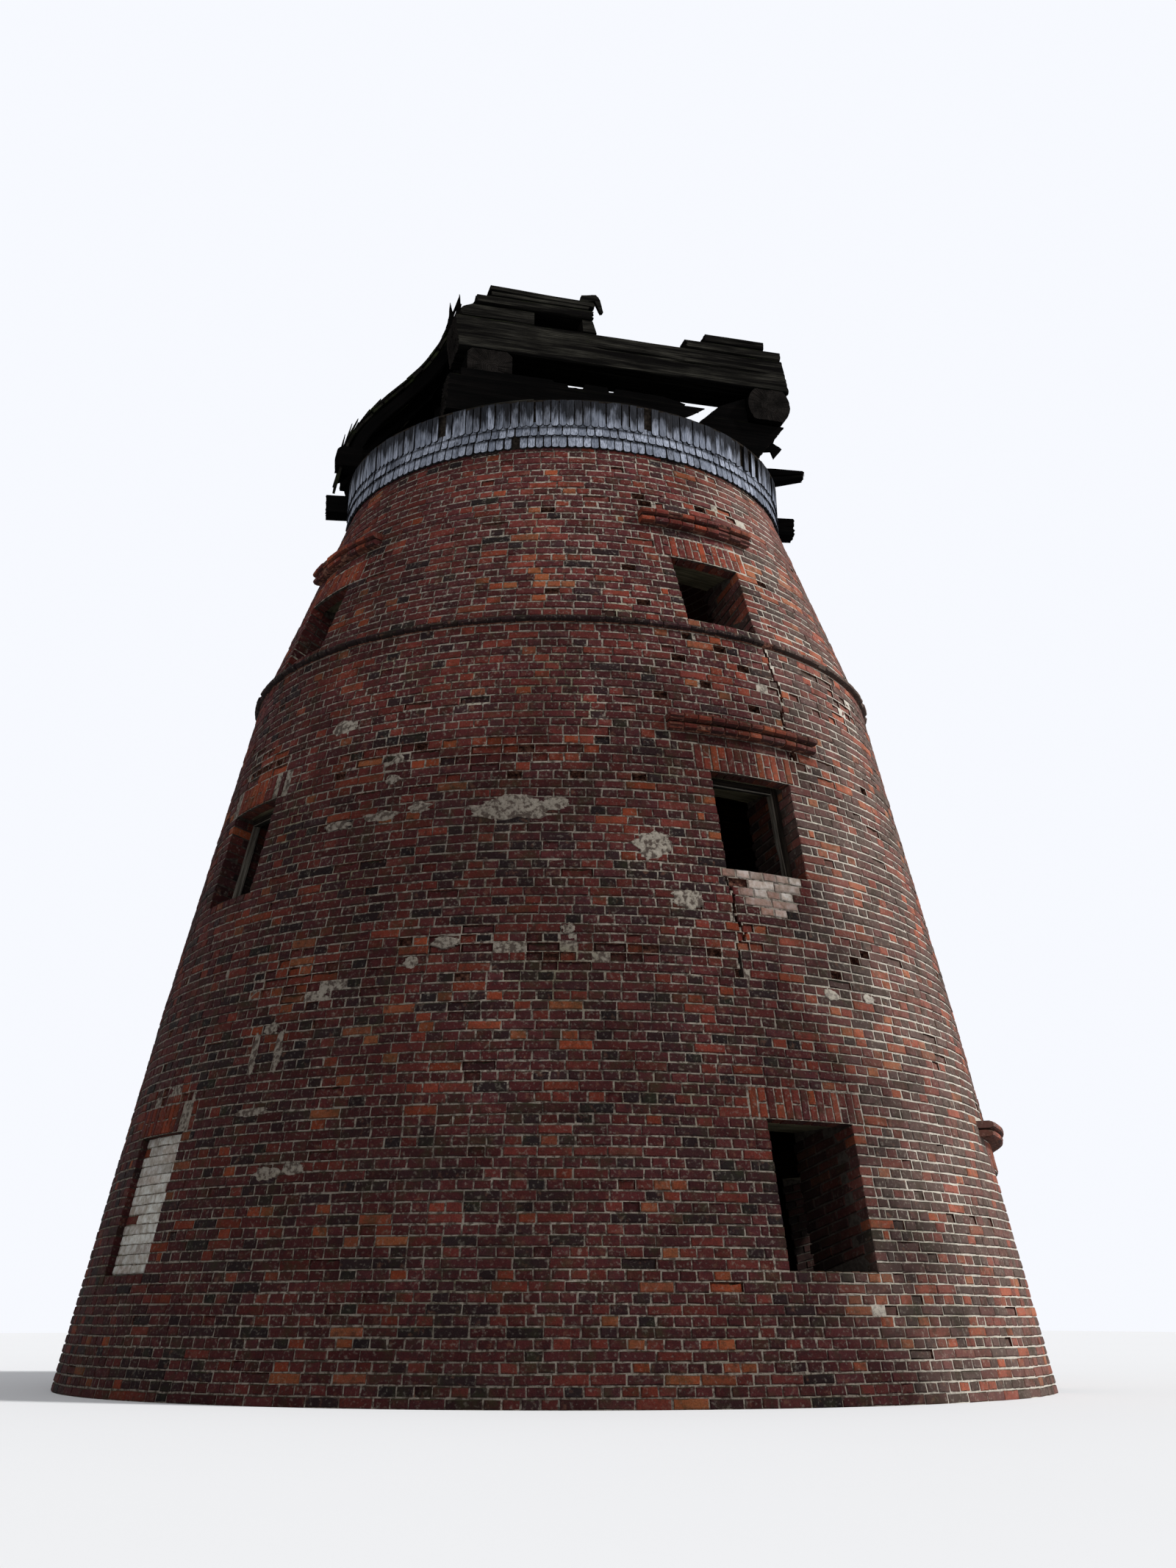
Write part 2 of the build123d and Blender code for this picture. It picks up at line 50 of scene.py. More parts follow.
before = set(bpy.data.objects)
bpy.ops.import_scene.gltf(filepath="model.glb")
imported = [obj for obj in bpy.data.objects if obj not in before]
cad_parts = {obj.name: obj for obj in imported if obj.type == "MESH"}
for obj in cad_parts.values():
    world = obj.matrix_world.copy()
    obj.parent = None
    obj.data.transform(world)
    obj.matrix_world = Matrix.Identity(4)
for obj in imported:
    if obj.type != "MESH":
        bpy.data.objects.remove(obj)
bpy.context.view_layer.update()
CLEARANCE = 0.0003
WELD = 0.00002
# How near a point has to be to a face or an edge to count as part of it
FACE_NEAR, EDGE_NEAR = 0.003, 0.002

# Outside profile of the tower: height and radius where the batter changes
PROFILE = ((0.0, 4.486), (3.35, 3.757), (6.361, 3.044), (8.6, 2.174))
# Each storey: name, bottom, top, wall thickness
STOREYS = (("ground", 0.0, 3.15, 0.77), ("middle", 3.15, 5.55, 0.64), ("upper", 5.55, 8.6, 0.51))
COLUMN_TURNS = (0.0, 97.0, 180.0, 277.0)
DOOR_TURN = 48.5
BLOCKED_TURN = 277.0
# Openings: width, sill, head
GROUND_WINDOW = (0.8, 0.93, 2.04)
MIDDLE_WINDOW = (0.8, 4.09, 4.97)
UPPER_WINDOW = (0.71, 6.48, 7.18)
DOORWAY = (1.1, 0.0, 1.85)
LINTEL_HEIGHT = 0.25
LINTEL_END = 0.13
INFILL_RECESS = 0.06
# Projecting courses
COURSE_HEIGHT = 0.075
STRING_LOW, STRING_HIGH = 6.361 - COURSE_HEIGHT / 2, 6.361 + COURSE_HEIGHT / 2
STRING_REACH = 0.045
HOOD_GAP = 0.09
HOOD_ARC = 26.0
DOOR_HOOD_ARC = 24.0
HOOD_REACHES = (0.08, 0.115)
DOOR_HOOD_REACHES = (0.115, 0.14)
# Depth of the bricks that are laid on the face, of spalled ones and of moulded ones
BRICK_BODY, SPALLED_BODY, NOSE_BODY = 0.04, 0.06, 0.21
# Head of the tower
SKIRT_LOW, SKIRT_HIGH = 8.4, 8.905
SKIRT_LOW_RADIUS, SKIRT_HIGH_RADIUS = 2.288, 2.266
CURB_RADIUS, CURB_INNER, CURB_TOP, CURB_REBATE = 2.204, 1.82, 8.98, 0.04
# Floors: joists, boards and what is left of the window frames
JOIST, JOIST_SPACING, BOARD, BOARD_WIDE = 0.16, 0.9, 0.04, 0.19
PAVING_JOINT = 0.008
FRAME_MIDDLE, FRAME_DEPTH = 0.235, 0.066
# Pale painted bead of each stile and rail, and the darker wood beside it, which paints the shade the frame
# lies in: how far in from the opening, and how wide
STILE_BEAD, STILE_SHADED, FAR_STILE = (0.073, 0.014), (0.037, 0.054), (0.02, 0.03)
RAIL_BEAD, RAIL_SHADED = (0.063, 0.014), (0.029, 0.05)
# Cap, in its own frame: front at -Y
CAP_TURN = -14.0
BOLSTER_TOP, SHEER_TOP, BREAST_TOP, COVER_LOW, COVER_TOP = 9.395, 9.755, 10.12, 10.28, 10.38
BREAST_Y = -1.23
REAR_Y, REAR_TURN = 0.74, -9.0
BROKEN_TURN, BROKEN_LOW, BROKEN_HIGH = -14.5, 1.515, 2.544
BROKEN_HEIGHT, BROKEN_RISE, BROKEN_THINNING = 0.185, 0.075, 0.105
BOLSTER_TALL, BREAST_TALL = BOLSTER_TOP - CURB_TOP, BREAST_TOP - SHEER_TOP
BLOCK_TALL, COVER_TALL = COVER_LOW - BREAST_TOP, COVER_TOP - COVER_LOW
# Squared timbers: ends across, place and size in depth, underside, height, seed, torn ends, checks
TIMBERS = {
    "front_bolster": (-1.6, 0.81, -1.42, 0.34, CURB_TOP, BOLSTER_TALL, 1, (0.05, 0.04), 5),
    "right_bolster": (1.03, 1.68, -1.26, 0.34, CURB_TOP, BOLSTER_TALL, 2, (0.02, 0.03), 3),
    "splinter": (0.61, 0.83, -1.56, 0.056, 9.24, 0.155, 17, (0.0, 0.05), 1),
    "rear_main": (-1.93, 2.295, 0.0, 0.22, CURB_TOP, BOLSTER_TALL, 3, (0.0, 0.0), 6),
    "rear_left": (-2.43, -1.9, 0.0, 0.216, CURB_TOP, 0.23, 4, (0.03, 0.0), 3),
    "rear_right": (2.265, 2.795, 0.0, 0.216, CURB_TOP, 0.23, 5, (0.0, 0.04), 3),
    "breast": (-1.455, 2.035, BREAST_Y, 0.5, SHEER_TOP, BREAST_TALL, 8, (0.03, 0.015), 9),
    "left_block": (-1.44, -0.684, BREAST_Y, 0.46, BREAST_TOP, BLOCK_TALL, 9, (0.03, 0.0), 3),
    "right_block": (-0.174, -0.03, BREAST_Y, 0.46, BREAST_TOP, BLOCK_TALL, 10, (0.0, 0.0), 1),
    "cover": (-1.29, -0.06, BREAST_Y, 0.5, COVER_LOW, COVER_TALL, 11, (0.05, 0.05), 3),
    "wedge": (-1.13, -0.1, BREAST_Y, 0.48, COVER_TOP, 0.066, 13, (0.02, 0.08), 2),
    "lower_board": (0.88, 1.95, BREAST_Y, 0.5, BREAST_TOP, 0.098, 14, (0.1, 0.03), 3),
    "upper_board": (1.12, 1.765, BREAST_Y, 0.49, BREAST_TOP + 0.1, 0.098, 15, (0.02, 0.01), 3),
    "broken": (BROKEN_LOW, BROKEN_HIGH, -0.35, 0.14, CURB_TOP, BROKEN_HEIGHT, 16, (0.04, 0.09), 3),
}
# Where timbers lean at their ends: rows of (height, place across) at the left and at the right
SLANTS = {
    "front_bolster": (((CURB_TOP, -1.6), (BOLSTER_TOP, -1.575)), ((CURB_TOP, 0.81), (BOLSTER_TOP, 0.81))),
    "right_bolster": (
        ((CURB_TOP, 1.03), (9.28, 1.03), (BOLSTER_TOP, 1.23)), ((CURB_TOP, 1.68), (BOLSTER_TOP, 2.0)),
    ),
    "splinter": (((9.24, 0.61), (BOLSTER_TOP, 0.61)), ((9.24, 0.83), (BOLSTER_TOP, 1.12))),
    "breast": (((SHEER_TOP, -1.455), (BREAST_TOP, -1.5)), ((SHEER_TOP, 2.035), (BREAST_TOP, 1.955))),
    "left_block": (
        ((BREAST_TOP, -1.44), (10.215, -1.44), (COVER_LOW, -1.29)),
        ((BREAST_TOP, -0.684), (COVER_LOW, -0.684)),
    ),
    "right_block": (((BREAST_TOP, -0.174), (COVER_LOW, -0.186)), ((BREAST_TOP, -0.03), (COVER_LOW, -0.08))),
}
SHEERS = (("left", -1.14, 1.15), ("right", 1.795, 0.95))
SHEER_FRONT = -1.5
SQUARED_SHEER, ROUND_SHEER = (0.466, 0.356), (0.235, 0.18)
TILTED_SECTION = (0.5, 0.056)
TILTED_PLANK = ((-1.15, BREAST_Y, 10.472), (-0.05, BREAST_Y, 10.447))
RAFTER_PLACES = (-0.14, 0.42, 1.05)
RAFTER_SECTION, RAFTER_INSET = (0.104, 0.124), 0.135
RAFTER_LOW, BACK_RAFTER_LOW, RAFTER_HIGH = 9.18, 9.9, 11.02
LOOKOUT_ENDS, LOOKOUT_DEPTH, LOOKOUT_TALL = (-2.34, -1.7), 0.106, 0.2
POST_PLACES = (-0.35, 0.9)
POST, POST_TOP = 0.146, 10.41
TRESTLE_X = -1.215
PURLIN_ENDS = ((TRESTLE_X, -0.43, 10.475), (TRESTLE_X, 1.15, 10.475))
# Where the roof fragment's shingles and boards run, in depth and height
ROOF_FRONT, ROOF_BACK, ROOF_LOW, ROOF_HIGH = -0.24, 1.55, 9.02, 11.15
ROOF_BOARD_LOW, ROOF_BOARD_HIGH = 9.0, 11.12
ROOF_BOARD_THICK, ROOF_BOARD_WIDE, ROOF_BOARD_PITCH = 0.026, 0.145, 0.155
# How far back the torn edge starts at the eave, and how far back it runs for each metre up
TORN_START, TORN_SLOPE = 0.04, 1.5
# Splinters and loose ends: place in depth, thickness, seed, and an outline of (across, height)
SHARDS = {
    "packing": (-1.55, 0.06, 1, (
        (-1.44, 9.36), (-1.44, 9.46), (-0.53, 9.462), (-0.5, 9.44), (-0.37, 9.436), (-0.36, 9.405),
        (-0.21, 9.41), (-0.19, 9.465), (0.04, 9.462), (0.06, 9.415), (0.105, 9.415), (0.13, 9.46),
        (0.62, 9.45), (0.86, 9.4), (0.8, 9.36),
    )),
    "chock": (-1.33, 0.15, 2, ((1.07, 9.33), (1.285, 9.535), (1.56, 9.66), (1.6, 9.35), (1.3, 9.2))),
    "scrap": (-1.15, 0.03, 3, (
        (1.66, 9.4), (1.92, 9.47), (1.985, 9.4), (1.96, 9.33), (2.055, 9.275), (1.965, 9.155), (1.93, 9.235),
        (1.72, 9.2),
    )),
    "curl": (-1.42, 0.05, 4, (
        (-0.22, 10.47), (-0.19, 10.555), (-0.04, 10.585), (0.005, 10.53), (0.037, 10.395), (0.013, 10.385),
        (-0.055, 10.51),
    )),
    "peg": (-1.25, 0.09, 5, ((1.866, 10.09), (1.869, 10.21), (1.95, 10.205), (1.948, 10.09))),
    "verge_tip_0": (ROOF_FRONT, 0.02, 6, (
        (-1.276, 10.76), (-1.257, 10.96), (-1.225, 11.13), (-1.2, 10.915), (-1.204, 10.77),
    )),
    "verge_tip_1": (ROOF_FRONT, 0.02, 7, (
        (-1.369, 10.655), (-1.334, 10.84), (-1.326, 11.01), (-1.287, 10.865), (-1.274, 10.67),
    )),
    "eave_block": (-0.13, 0.2, 11, (
        (-2.45, 9.12), (-2.4, 9.16), (-2.19, 9.158), (-2.19, 8.95), (-2.445, 8.94),
    )),
    "eave_scrap_0": (0.4, 0.3, 8, (
        (-2.16, 9.32), (-2.285, 9.24), (-2.355, 9.11), (-2.25, 9.165), (-2.16, 9.22),
    )),
    "eave_scrap_1": (0.4, 0.3, 9, (
        (-2.14, 9.165), (-2.27, 9.03), (-2.245, 8.945), (-2.25, 8.895), (-2.145, 8.94),
    )),
    "back_plank": (0.99, 0.028, 12, (
        (-1.56, 10.02), (-1.5, 10.36), (-1.34, 10.42), (-1.15, 10.4), (-1.15, 9.98), (-1.36, 10.04),
    )),
}
# Where the camera stood, how it was aimed, and its frame
CAMERA_TURN, CAMERA_DISTANCE, CAMERA_HEIGHT = -28.5, 17.1, 0.6
CAMERA_PITCH, CAMERA_YAW, CAMERA_ROLL = 16.91, 0.91, 0.08
PHOTO_HEIGHT, PHOTO_FOCAL = 2133, 2390

# Where bricks have fallen out: turn and level
POCKETS = (
    (348, 7.84), (350, 7.76), (347, 6.97), (346.5, 7.18), (345, 6.58), (333, 6.71), (327.5, 7.63),
    (353, 6.29), (1, 6.22), (353.5, 6.06), (350.5, 6.06), (1.5, 6.06), (353.5, 5.84), (347.5, 5.69),
    (16, 7.16), (18, 7.17), (4, 7.86), (324.5, 4.88), (334.5, 4.88), (343.5, 4.88), (297, 5.0),
    (325, 5.1), (9, 3.25), (11.5, 3.46), (15, 3.53), (349.5, 3.35), (352, 3.16), (312.5, 3.4),
    (320, 3.1), (330, 3.28), (2.5, 5.63), (354, 3.98), (355.5, 3.98), (28, 5.2), (40, 6.8), (61, 4.4),
    (75, 7.3), (88, 2.6), (118, 5.6), (131, 3.4), (150, 6.9), (163, 4.0), (196, 5.9), (208, 3.3),
    (221, 7.4), (236, 4.7), (249, 2.4), (258, 6.3), (110, 1.4), (215, 1.2),
)
# Mortar and plaster smears: turn, level, half width, half height
SMEARS = (
    (325.0, 4.55, 0.4, 0.12), (330.6, 4.58, 0.14, 0.07), (312, 4.6, 0.12, 0.06), (306, 4.56, 0.2, 0.05),
    (299, 4.53, 0.16, 0.05), (307, 4.89, 0.08, 0.05), (343.6, 4.24, 0.19, 0.13), (347.6, 3.79, 0.14, 0.1),
    (6.5, 3.09, 0.1, 0.05), (13, 3.1, 0.07, 0.05), (332.4, 3.5, 0.07, 0.05), (299, 1.64, 0.15, 0.07),
    (302.3, 1.67, 0.12, 0.05), (295, 2.13, 0.22, 0.04), (313.6, 3.25, 0.07, 0.06), (317.6, 3.4, 0.12, 0.05),
    (296.3, 5.49, 0.16, 0.09), (70, 3.6, 0.22, 0.12), (142, 5.0, 0.26, 0.11), (205, 2.2, 0.24, 0.14),
    (240, 5.9, 0.18, 0.1), (293.2, 2.6, 0.045, 0.2), (297.0, 2.6, 0.05, 0.18), (295.2, 2.8, 0.09, 0.05),
)
SMEAR_RINGS, SMEAR_SPOKES = 7, 44
# Zones where faces have spalled and bricks sit loose: turn, level, half width, half height, orange share
WORN_ZONES = (
    (298, 3.18, 0.62, 0.28, 1.1), (277, 5.35, 0.5, 0.3, 0.8), (278, 2.25, 0.6, 0.24, 1.0),
    (330, 3.34, 1.3, 0.16, 0.4), (354, 3.5, 0.16, 0.22, 0.8), (10, 5.3, 0.2, 0.22, 0.5),
    (318, 5.12, 1.4, 0.17, 0.5), (11, 7.88, 0.45, 0.1, 0.3), (28, 6.1, 0.3, 0.35, 0.1),
    (200, 3.3, 0.8, 0.15, 0.4),
)
# Cracks through the face, from the top down: turn and level
CRACKS = (
    ((7.5, 6.32), (8.0, 6.19), (9.2, 5.95), (8.5, 5.57), (8.8, 5.32), (8.6, 5.22)),
    ((353.0, 4.02), (354.0, 3.88), (353.8, 3.69), (354.8, 3.54), (353.5, 3.43), (352.8, 3.2)),
)
# Bricks of the blocked window that have lost their whitewash: row from the top, place in the row
BARE_BRICKS = {(1, 0), (2, 3), (2, 6), (5, 3), (8, 0)}
# Which share of the bricks is black, maroon, red, orange and ochre, by part of the wall
MIX_PLAIN = (0.1, 0.46, 0.38, 0.055, 0.005)
MIX_HEAD = (0.1, 0.38, 0.44, 0.07, 0.01)
MIX_LIT = (0.5, 0.19, 0.14, 0.15, 0.02)
MIX_LOW = (0.18, 0.5, 0.27, 0.045, 0.005)
MIX_NEW = (0.02, 0.1, 0.36, 0.48, 0.04)
# Where each of them holds, the last one that fits: turn from, turn to, level from, level to
MIX_ZONES = (
    (MIX_HEAD, -90.0, 450.0, 6.4, 99.0), (MIX_LOW, 200.0, 450.0, -1.0, 3.4), (MIX_LIT, 7.0, 95.0, -1.0, 7.5),
)
TONE_BANDS = (0.0, 0.2, 0.45, 0.72, 0.93, 1.0)


def srgb(*channels):
    """A colour as a screen shows it, 0 to 255, as Blender's linear colour."""
    shares = [value / 255 for value in channels]
    return (*(v / 12.92 if v <= 0.04045 else ((v + 0.055) / 1.055) ** 2.4 for v in shares), 1.0)


def number(name, default, about, **limits):
    return bpy.props.FloatProperty(name=name, description=about, default=default, min=0.0, **limits)


def length(name, default, about):
    return number(name, default, about, unit="LENGTH")


def share(name, default, about):
    return number(name, default, about, max=1.0, subtype="FACTOR")


def seed(default, about):
    return bpy.props.IntProperty(name="Seed", description=about, default=default, min=0)


def colour(name, default, about):
    return bpy.props.FloatVectorProperty(
        name=name, description=about, default=default, size=4, min=0.0, max=1.0, subtype="COLOR"
    )


class MillBrickwork(bpy.types.PropertyGroup):
    brick_length: length("Brick length", 0.25, "Length of a stretcher on the face")
    brick_width: length("Brick width", 0.12, "Width of a header on the face")
    brick_height: length("Brick height", 0.065, "Height of a brick")
    joint: length("Joint", 0.01, "Thickness of the mortar joints")
    recess: length("Joint recess", 0.007, "How far the mortar lies behind the bricks")
    course: length("Course", 0.077, "Height of a brick with its bed joint")
    soldier: length("Upright brick", 0.075, "Width of an upright lintel brick with its joint")
    pocket: length("Pocket", 0.11, "Depth of the hole that a fallen brick leaves")
    push: length("Unevenness", 0.003, "How far a brick may stand in or out")
    tilt: number("Tilt", math.radians(1.1), "How far a brick may be out of true", subtype="ANGLE")
    fallen: share("Fallen", 0.06, "Share of bricks lost in worn zones")
    seed: seed(7, "Seed of the bond and the wear")


class MillShingles(bpy.types.PropertyGroup):
    width: length("Shingle width", 0.076, "Width of a shingle with its gap")
    thickness: length("Shingle thickness", 0.019, "Thickness of a shingle at its foot")
    lower_row: length("Lower row", 0.125, "What shows of the lowest row")
    middle_row: length("Middle row", 0.1, "What shows of the middle row")
    roof_row: length("Roof row", 0.135, "What shows of each row on the roof")
    lost: share("Lost", 0.03, "Share of shingles that are gone")
    seed: seed(21, "Seed of the shingles' spread")


class MillTimber(bpy.types.PropertyGroup):
    grain: length("Grain depth", 0.006, "Depth of the weathered grain")
    corner: length("Worn corner", 0.014, "Radius of the worn corners")
    step_along: length("Step along", 0.06, "Length of a face along the grain")
    step_across: length("Step across", 0.014, "Width of a face across the grain")
    seed: seed(5, "Seed of the checks and torn ends")


class MillColours(bpy.types.PropertyGroup):
    black: colour("Black brick", srgb(43, 34, 35), "Overburnt bricks")
    maroon: colour("Maroon brick", srgb(88, 42, 42), "Dark bricks")
    red: colour("Red brick", srgb(124, 56, 46), "Common bricks")
    orange: colour("Orange brick", srgb(160, 74, 46), "Soft bricks")
    ochre: colour("Ochre brick", srgb(158, 94, 60), "Pale bricks")
    mortar: colour("Mortar", srgb(168, 160, 146), "Lime mortar in the joints")
    lime: colour("Whitewash", srgb(190, 190, 184), "Whitewash on the blocked window")
    silver: colour("Weathered shingle", srgb(176, 182, 196), "Shingles bleached by the weather")
    oak: colour("Weathered oak", srgb(70, 68, 61), "Faces of the cap's timbers")
    oak_dark: colour("Wet oak", srgb(11, 10, 10), "Rot and shade in the grain")
    moss: colour("Moss", srgb(50, 60, 30), "Moss on what faces up")


class MillStage(bpy.types.PropertyGroup):
    key: number("Key light", 2.8, "Strength of the main light")
    sky: number("Sky light", 0.45, "Strength of the light from all round")
    floor: colour("Floor", (0.82, 0.82, 0.82, 1.0), "Colour of the floor and backdrop")


def brickwork():
    return bpy.context.scene.mill_brickwork


def shingles():
    return bpy.context.scene.mill_shingles


def timber():
    return bpy.context.scene.mill_timber


# Shapes on the tower

def batter(z):
    """The stretch of the profile that holds a height, or None above the walls."""
    return next(((low, high) for low, high in zip(PROFILE, PROFILE[1:]) if z <= high[0]), None)


def wall_radius(z):
    """Radius of the outside face at a height."""
    stretch = batter(z)
    if stretch is None:
        return PROFILE[-1][1]
    (z_low, r_low), (z_high, r_high) = stretch
    return r_low + (r_high - r_low) * (z - z_low) / (z_high - z_low)


def wall_lean(z):
    """Angle of the batter from upright at a height."""
    stretch = batter(z)
    if stretch is None:
        return 0.0
    (z_low, r_low), (z_high, r_high) = stretch
    return math.atan2(r_low - r_high, z_high - z_low)


def outward(turn):
    angle = math.radians(turn)
    return Vector((math.sin(angle), -math.cos(angle), 0.0))


def sideways(turn):
    angle = math.radians(turn)
    return Vector((math.cos(angle), math.sin(angle), 0.0))


def place_at(turn, radius, z, across=0.0):
    """Point at a distance from the axis, square to a turn, and to the side of it."""
    place = outward(turn) * radius + sideways(turn) * across
    place.z = z
    return place


def on_wall(turn, z, out=0.0):
    """Point on the outside face, or out from it square to the axis."""
    return place_at(turn, wall_radius(z) + out, z)


def wall_angles(turn, z):
    return (-wall_lean(z), 0.0, math.radians(turn))


def wall_matrix(turn, z):
    return Matrix.Translation(on_wall(turn, z)) @ Euler(wall_angles(turn, z)).to_matrix().to_4x4()


def storey_openings(name):
    """Turn, width, sill and head of each opening in a storey."""
    window = {"ground": GROUND_WINDOW, "middle": MIDDLE_WINDOW, "upper": UPPER_WINDOW}[name]
    found = [(turn, *window) for turn in COLUMN_TURNS]
    if name == "ground":
        found.append((DOOR_TURN, *DOORWAY))
    return sorted(found)


ALL_OPENINGS = [opening for name, *_ in STOREYS for opening in storey_openings(name)]


def hood_list():
    """Turn, bottom, arc and reaches of each hood."""
    found = []
    for window, turns in ((MIDDLE_WINDOW, COLUMN_TURNS[:3]), (UPPER_WINDOW, COLUMN_TURNS)):
        bottom = window[2] + LINTEL_HEIGHT + HOOD_GAP
        found += [(turn, bottom, HOOD_ARC, HOOD_REACHES) for turn in turns]
    found.append((DOOR_TURN, DOORWAY[2] + LINTEL_HEIGHT, DOOR_HOOD_ARC, DOOR_HOOD_REACHES))
    return found


def turn_gap(a, b):
    """Signed angle from turn b to turn a, -180 to 180."""
    return (a - b + 180.0) % 360.0 - 180.0


def rough(x, y, z):
    """Smooth noise at a point, about -1 to 1."""
    return noise.noise(Vector((x, y, z)))


# Meshes

def mesh_object(name, mesh):
    made = bpy.data.objects.new(name, mesh)
    bpy.context.scene.collection.objects.link(made)
    return made


def finish_piece(name, parts, nodes):
    """Join meshes into one piece, put it on the tower and let it stand for its nodes."""
    objects = [mesh_object(f"{name}_{index}", mesh) for index, mesh in enumerate(parts)]
    piece = objects[0]
    if len(objects) > 1:
        with bpy.context.temp_override(
            active_object=piece, object=piece, selected_objects=objects, selected_editable_objects=objects
        ):
            bpy.ops.object.join()
    piece.name = name
    piece.data.name = name
    for spare in ("angles", "size", "form"):
        if spare in piece.data.attributes:
            piece.data.attributes.remove(piece.data.attributes[spare])
    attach(piece, "root")
    if nodes:
        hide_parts(*nodes)


def closed_mesh(name, work, materials):
    """Plain mesh from a bmesh, which is freed."""
    mesh = bpy.data.meshes.new(name)
    work.to_mesh(mesh)
    work.free()
    for material in materials:
        mesh.materials.append(material)
    return mesh


def tidy_mesh(name, verts, faces, materials, indices=None, merge=0.0):
    """Mesh with outward faces from points and faces."""
    work = bmesh.new()
    placed = [work.verts.new(point) for point in verts]
    for index, face in enumerate(faces):
        made = work.faces.new([placed[i] for i in face])
        if indices is not None:
            made.material_index = indices[index]
    if merge:
        bmesh.ops.remove_doubles(work, verts=work.verts, dist=merge)
    bmesh.ops.recalc_face_normals(work, faces=work.faces)
    return closed_mesh(name, work, materials)


def band(first, second, size):
    """Faces between two rings of points, given by the number of their first point."""
    return [(first + j, first + (j + 1) % size, second + (j + 1) % size, second + j) for j in range(size)]


def slab_faces(size):
    """Faces of a slab: two equal outlines of points, one behind the other, and the rim."""
    return [tuple(range(size)), tuple(range(size, 2 * size))] + band(0, size, size)


def split_outline(outline, step):
    """Points along a closed outline, about a step apart."""
    points = []
    for (x0, y0), (x1, y1) in zip(outline, outline[1:] + outline[:1]):
        count = max(1, round(math.hypot(x1 - x0, y1 - y0) / step))
        points += [(x0 + (x1 - x0) * i / count, y0 + (y1 - y0) * i / count) for i in range(count)]
    return points


def ring_sweep(name, profile, turn_low, turn_high, material):
    """Profile of (radius, height) points swept round the tower; a full ring is closed on itself."""
    span = turn_high - turn_low
    count = max(2, round(span / 2.0))
    full = span >= 359.9
    size = len(profile)
    verts, faces = [], []
    for i in range(count if full else count + 1):
        direction = outward(turn_low + span * i / count)
        verts += [(direction.x * r, direction.y * r, z) for r, z in profile]
    for i in range(count):
        faces += band(i * size, (i + 1) * size % len(verts), size)
    if not full:
        faces += [tuple(range(size)), tuple(len(verts) - size + j for j in range(size))]
    return tidy_mesh(name, verts, faces, [material])


def node_copy(node):
    """The node's own shape, with its loose triangles joined."""
    work = bmesh.new()
    work.from_mesh(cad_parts[node].data)
    bmesh.ops.remove_doubles(work, verts=work.verts, dist=WELD)
    return work


def sink_face(vert, setback=0.0):
    """Draw a point of the outside face in, behind the bricks."""
    flat = Vector((vert.co.x, vert.co.y, 0.0))
    if abs(wall_radius(vert.co.z) - setback - flat.length) < FACE_NEAR:
        vert.co -= flat.normalized() * brickwork().recess


def mortar_core(node, name, setback=0.0):
    """The node in mortar, with its face behind the bricks."""
    work = node_copy(node)
    for vert in work.verts:
        sink_face(vert, setback)
    return closed_mesh(name, work, [mortar_material()])


def cut_mesh(mesh, cutters):
    """Take the cutters' mesh away from a closed mesh."""
    body = mesh_object("cut_body", mesh)
    tool = mesh_object("cut_tool", cutters)
    cut = body.modifiers.new("cut", "BOOLEAN")
    cut.operation = "DIFFERENCE"
    cut.solver = "EXACT"
    cut.use_self = True
    cut.object = tool
    view = bpy.context.evaluated_depsgraph_get()
    made = bpy.data.meshes.new_from_object(body.evaluated_get(view))
    bpy.data.objects.remove(body)
    bpy.data.objects.remove(tool)
    return made


# Geometry Nodes: one tree lays everything that repeats

def put(tree, kind, inputs=(), **settings):
    """Add a node with its settings, and link or set its inputs."""
    made = tree.nodes.new(kind)
    for key, value in settings.items():
        setattr(made, key, value)
    for socket, value in inputs:
        if isinstance(value, bpy.types.NodeSocket):
            tree.links.new(value, made.inputs[socket])
        else:
            made.inputs[socket].default_value = value
    return made


LAYING_INPUTS = {
    "Geometry": "Geometry",
    "Forms": "Collection",
    "Tilt": "Float",
    "Push": "Float",
    "Seed": "Int",
    "Material": "Material",
}


